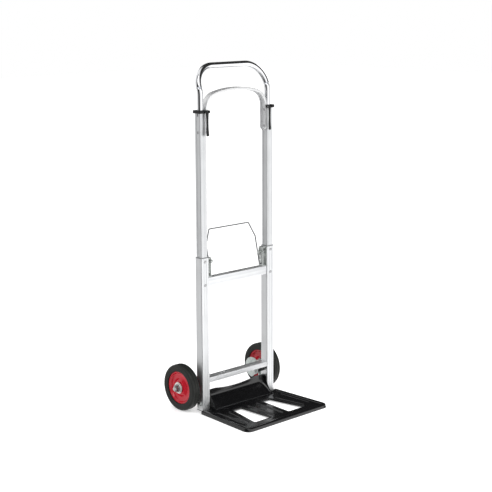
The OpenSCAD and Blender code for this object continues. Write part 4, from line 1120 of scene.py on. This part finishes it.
# ---- Wheels ----
# A bright turned hub on two shielded bearings, two dished discs pressed back to back and sprayed
# glossy red, and a solid black rubber tyre with two grooves round its tread.
def smoothed(outline, rounds=2):
    """An open outline with its corners cut twice, so that a turned surface flows."""
    for _ in range(rounds):
        cut = [outline[0]]
        for a, b in zip(outline, outline[1:]):
            cut.append((a[0] * 0.75 + b[0] * 0.25, a[1] * 0.75 + b[1] * 0.25))
            cut.append((a[0] * 0.25 + b[0] * 0.75, a[1] * 0.25 + b[1] * 0.75))
        cut.append(outline[-1])
        outline = cut
    return outline


hub_steel = satin_metal("turned_hub_steel", (0.80, 0.79, 0.76), (0.96, 0.95, 0.92),
                        (0.34, 0.48), (500, 500, 500), smudges=60.0)
bearing_shield = moulded("bearing_shield", (0.05, 0.05, 0.055), (0.10, 0.10, 0.11),
                         (0.35, 0.45), 1200)
red_paint = gloss_paint("red_enamel", (0.30, 0.002, 0.010), (0.54, 0.005, 0.022),
                        (0.62, 0.60, 0.60), (0.16, 0.28), 0.35, 0.2)
rubber = moulded("black_rubber", (0.008, 0.009, 0.008), (0.024, 0.025, 0.023), (0.42, 0.58),
                 900, bump=0.3)
disc_inner = 0.0151
disc_outer = 0.0529
dish = [(disc_inner, 0.0110), (disc_inner + 0.004, 0.0110), (disc_inner + 0.0075, 0.0102),
        (disc_inner + 0.0115, 0.0066), (disc_inner + 0.016, 0.0034),
        (disc_inner + 0.020, 0.0028), (disc_outer - 0.0115, 0.0028),
        (disc_outer - 0.0075, 0.0044), (disc_outer - 0.0048, 0.0090),
        (disc_outer - 0.0036, 0.0110), (disc_outer - 0.0020, 0.0113), (disc_outer, 0.0106)]
tread_half = [(0.0750, 0.0), (0.0750, 0.0040), (0.0749, 0.0042), (0.0741, 0.0044),
              (0.0741, 0.0056), (0.0749, 0.0058), (0.0750, 0.0060), (0.0749, 0.0085),
              (0.0744, 0.0108), (0.0733, 0.0129), (0.0717, 0.0145), (0.0700, 0.0153),
              (0.0684, 0.0155), (0.0646, 0.0155), (0.0641, 0.0150), (0.0628, 0.0150),
              (0.0623, 0.0155), (0.0580, 0.0155), (0.0575, 0.0151), (0.0562, 0.0151),
              (0.0557, 0.0154), (0.0540, 0.0150), (0.0531, 0.0140), (0.0530, 0.0128)]
for side, sign in SIDES.items():
    tyre_low, tyre_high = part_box(f"tyre_{side}")
    axle_at = (tyre_low + tyre_high) / 2
    tyre_line = tread_half + [(r, -along) for r, along in reversed(tread_half[1:])]
    tyre = revolved(f"solid_tyre_{side}", tyre_line, axle_at.x, axle_at, sign, 160)
    settle(tyre, rubber, "tyre_rubber", f"tyre_{side}")
    front = smoothed(dish)
    disc_line = front + [(r, -along) for r, along in reversed(front)]
    disc = revolved(f"wheel_dish_{side}", disc_line, axle_at.x, axle_at, sign)
    settle(disc, red_paint, "red_paint", f"wheel_disc_{side}")
    hub_low, hub_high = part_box(f"hub_{side}")
    hub_x = (hub_low.x + hub_high.x) / 2
    long = (hub_high.x - hub_low.x) / 2
    hub_half = [(0.0120, long - 0.0006), (0.0124, long), (0.0144, long), (0.0150, long - 0.0006),
                (0.0150, long - 0.0030), (0.0180, long - 0.0032), (0.0185, long - 0.0036),
                (0.0185, long - 0.0047), (0.0180, long - 0.0050), (0.0150, long - 0.0052)]
    hub_line = hub_half + [(r, -along) for r, along in reversed(hub_half)]
    hub = revolved(f"turned_hub_{side}", hub_line, hub_x, axle_at, sign, 96)
    settle(hub, hub_steel, "hub_steel", f"hub_{side}")
    softened(f"bearings_{side}", bearing_shield, "grey_plastic", 0.0004,
             f"bearing_shields_{side}")
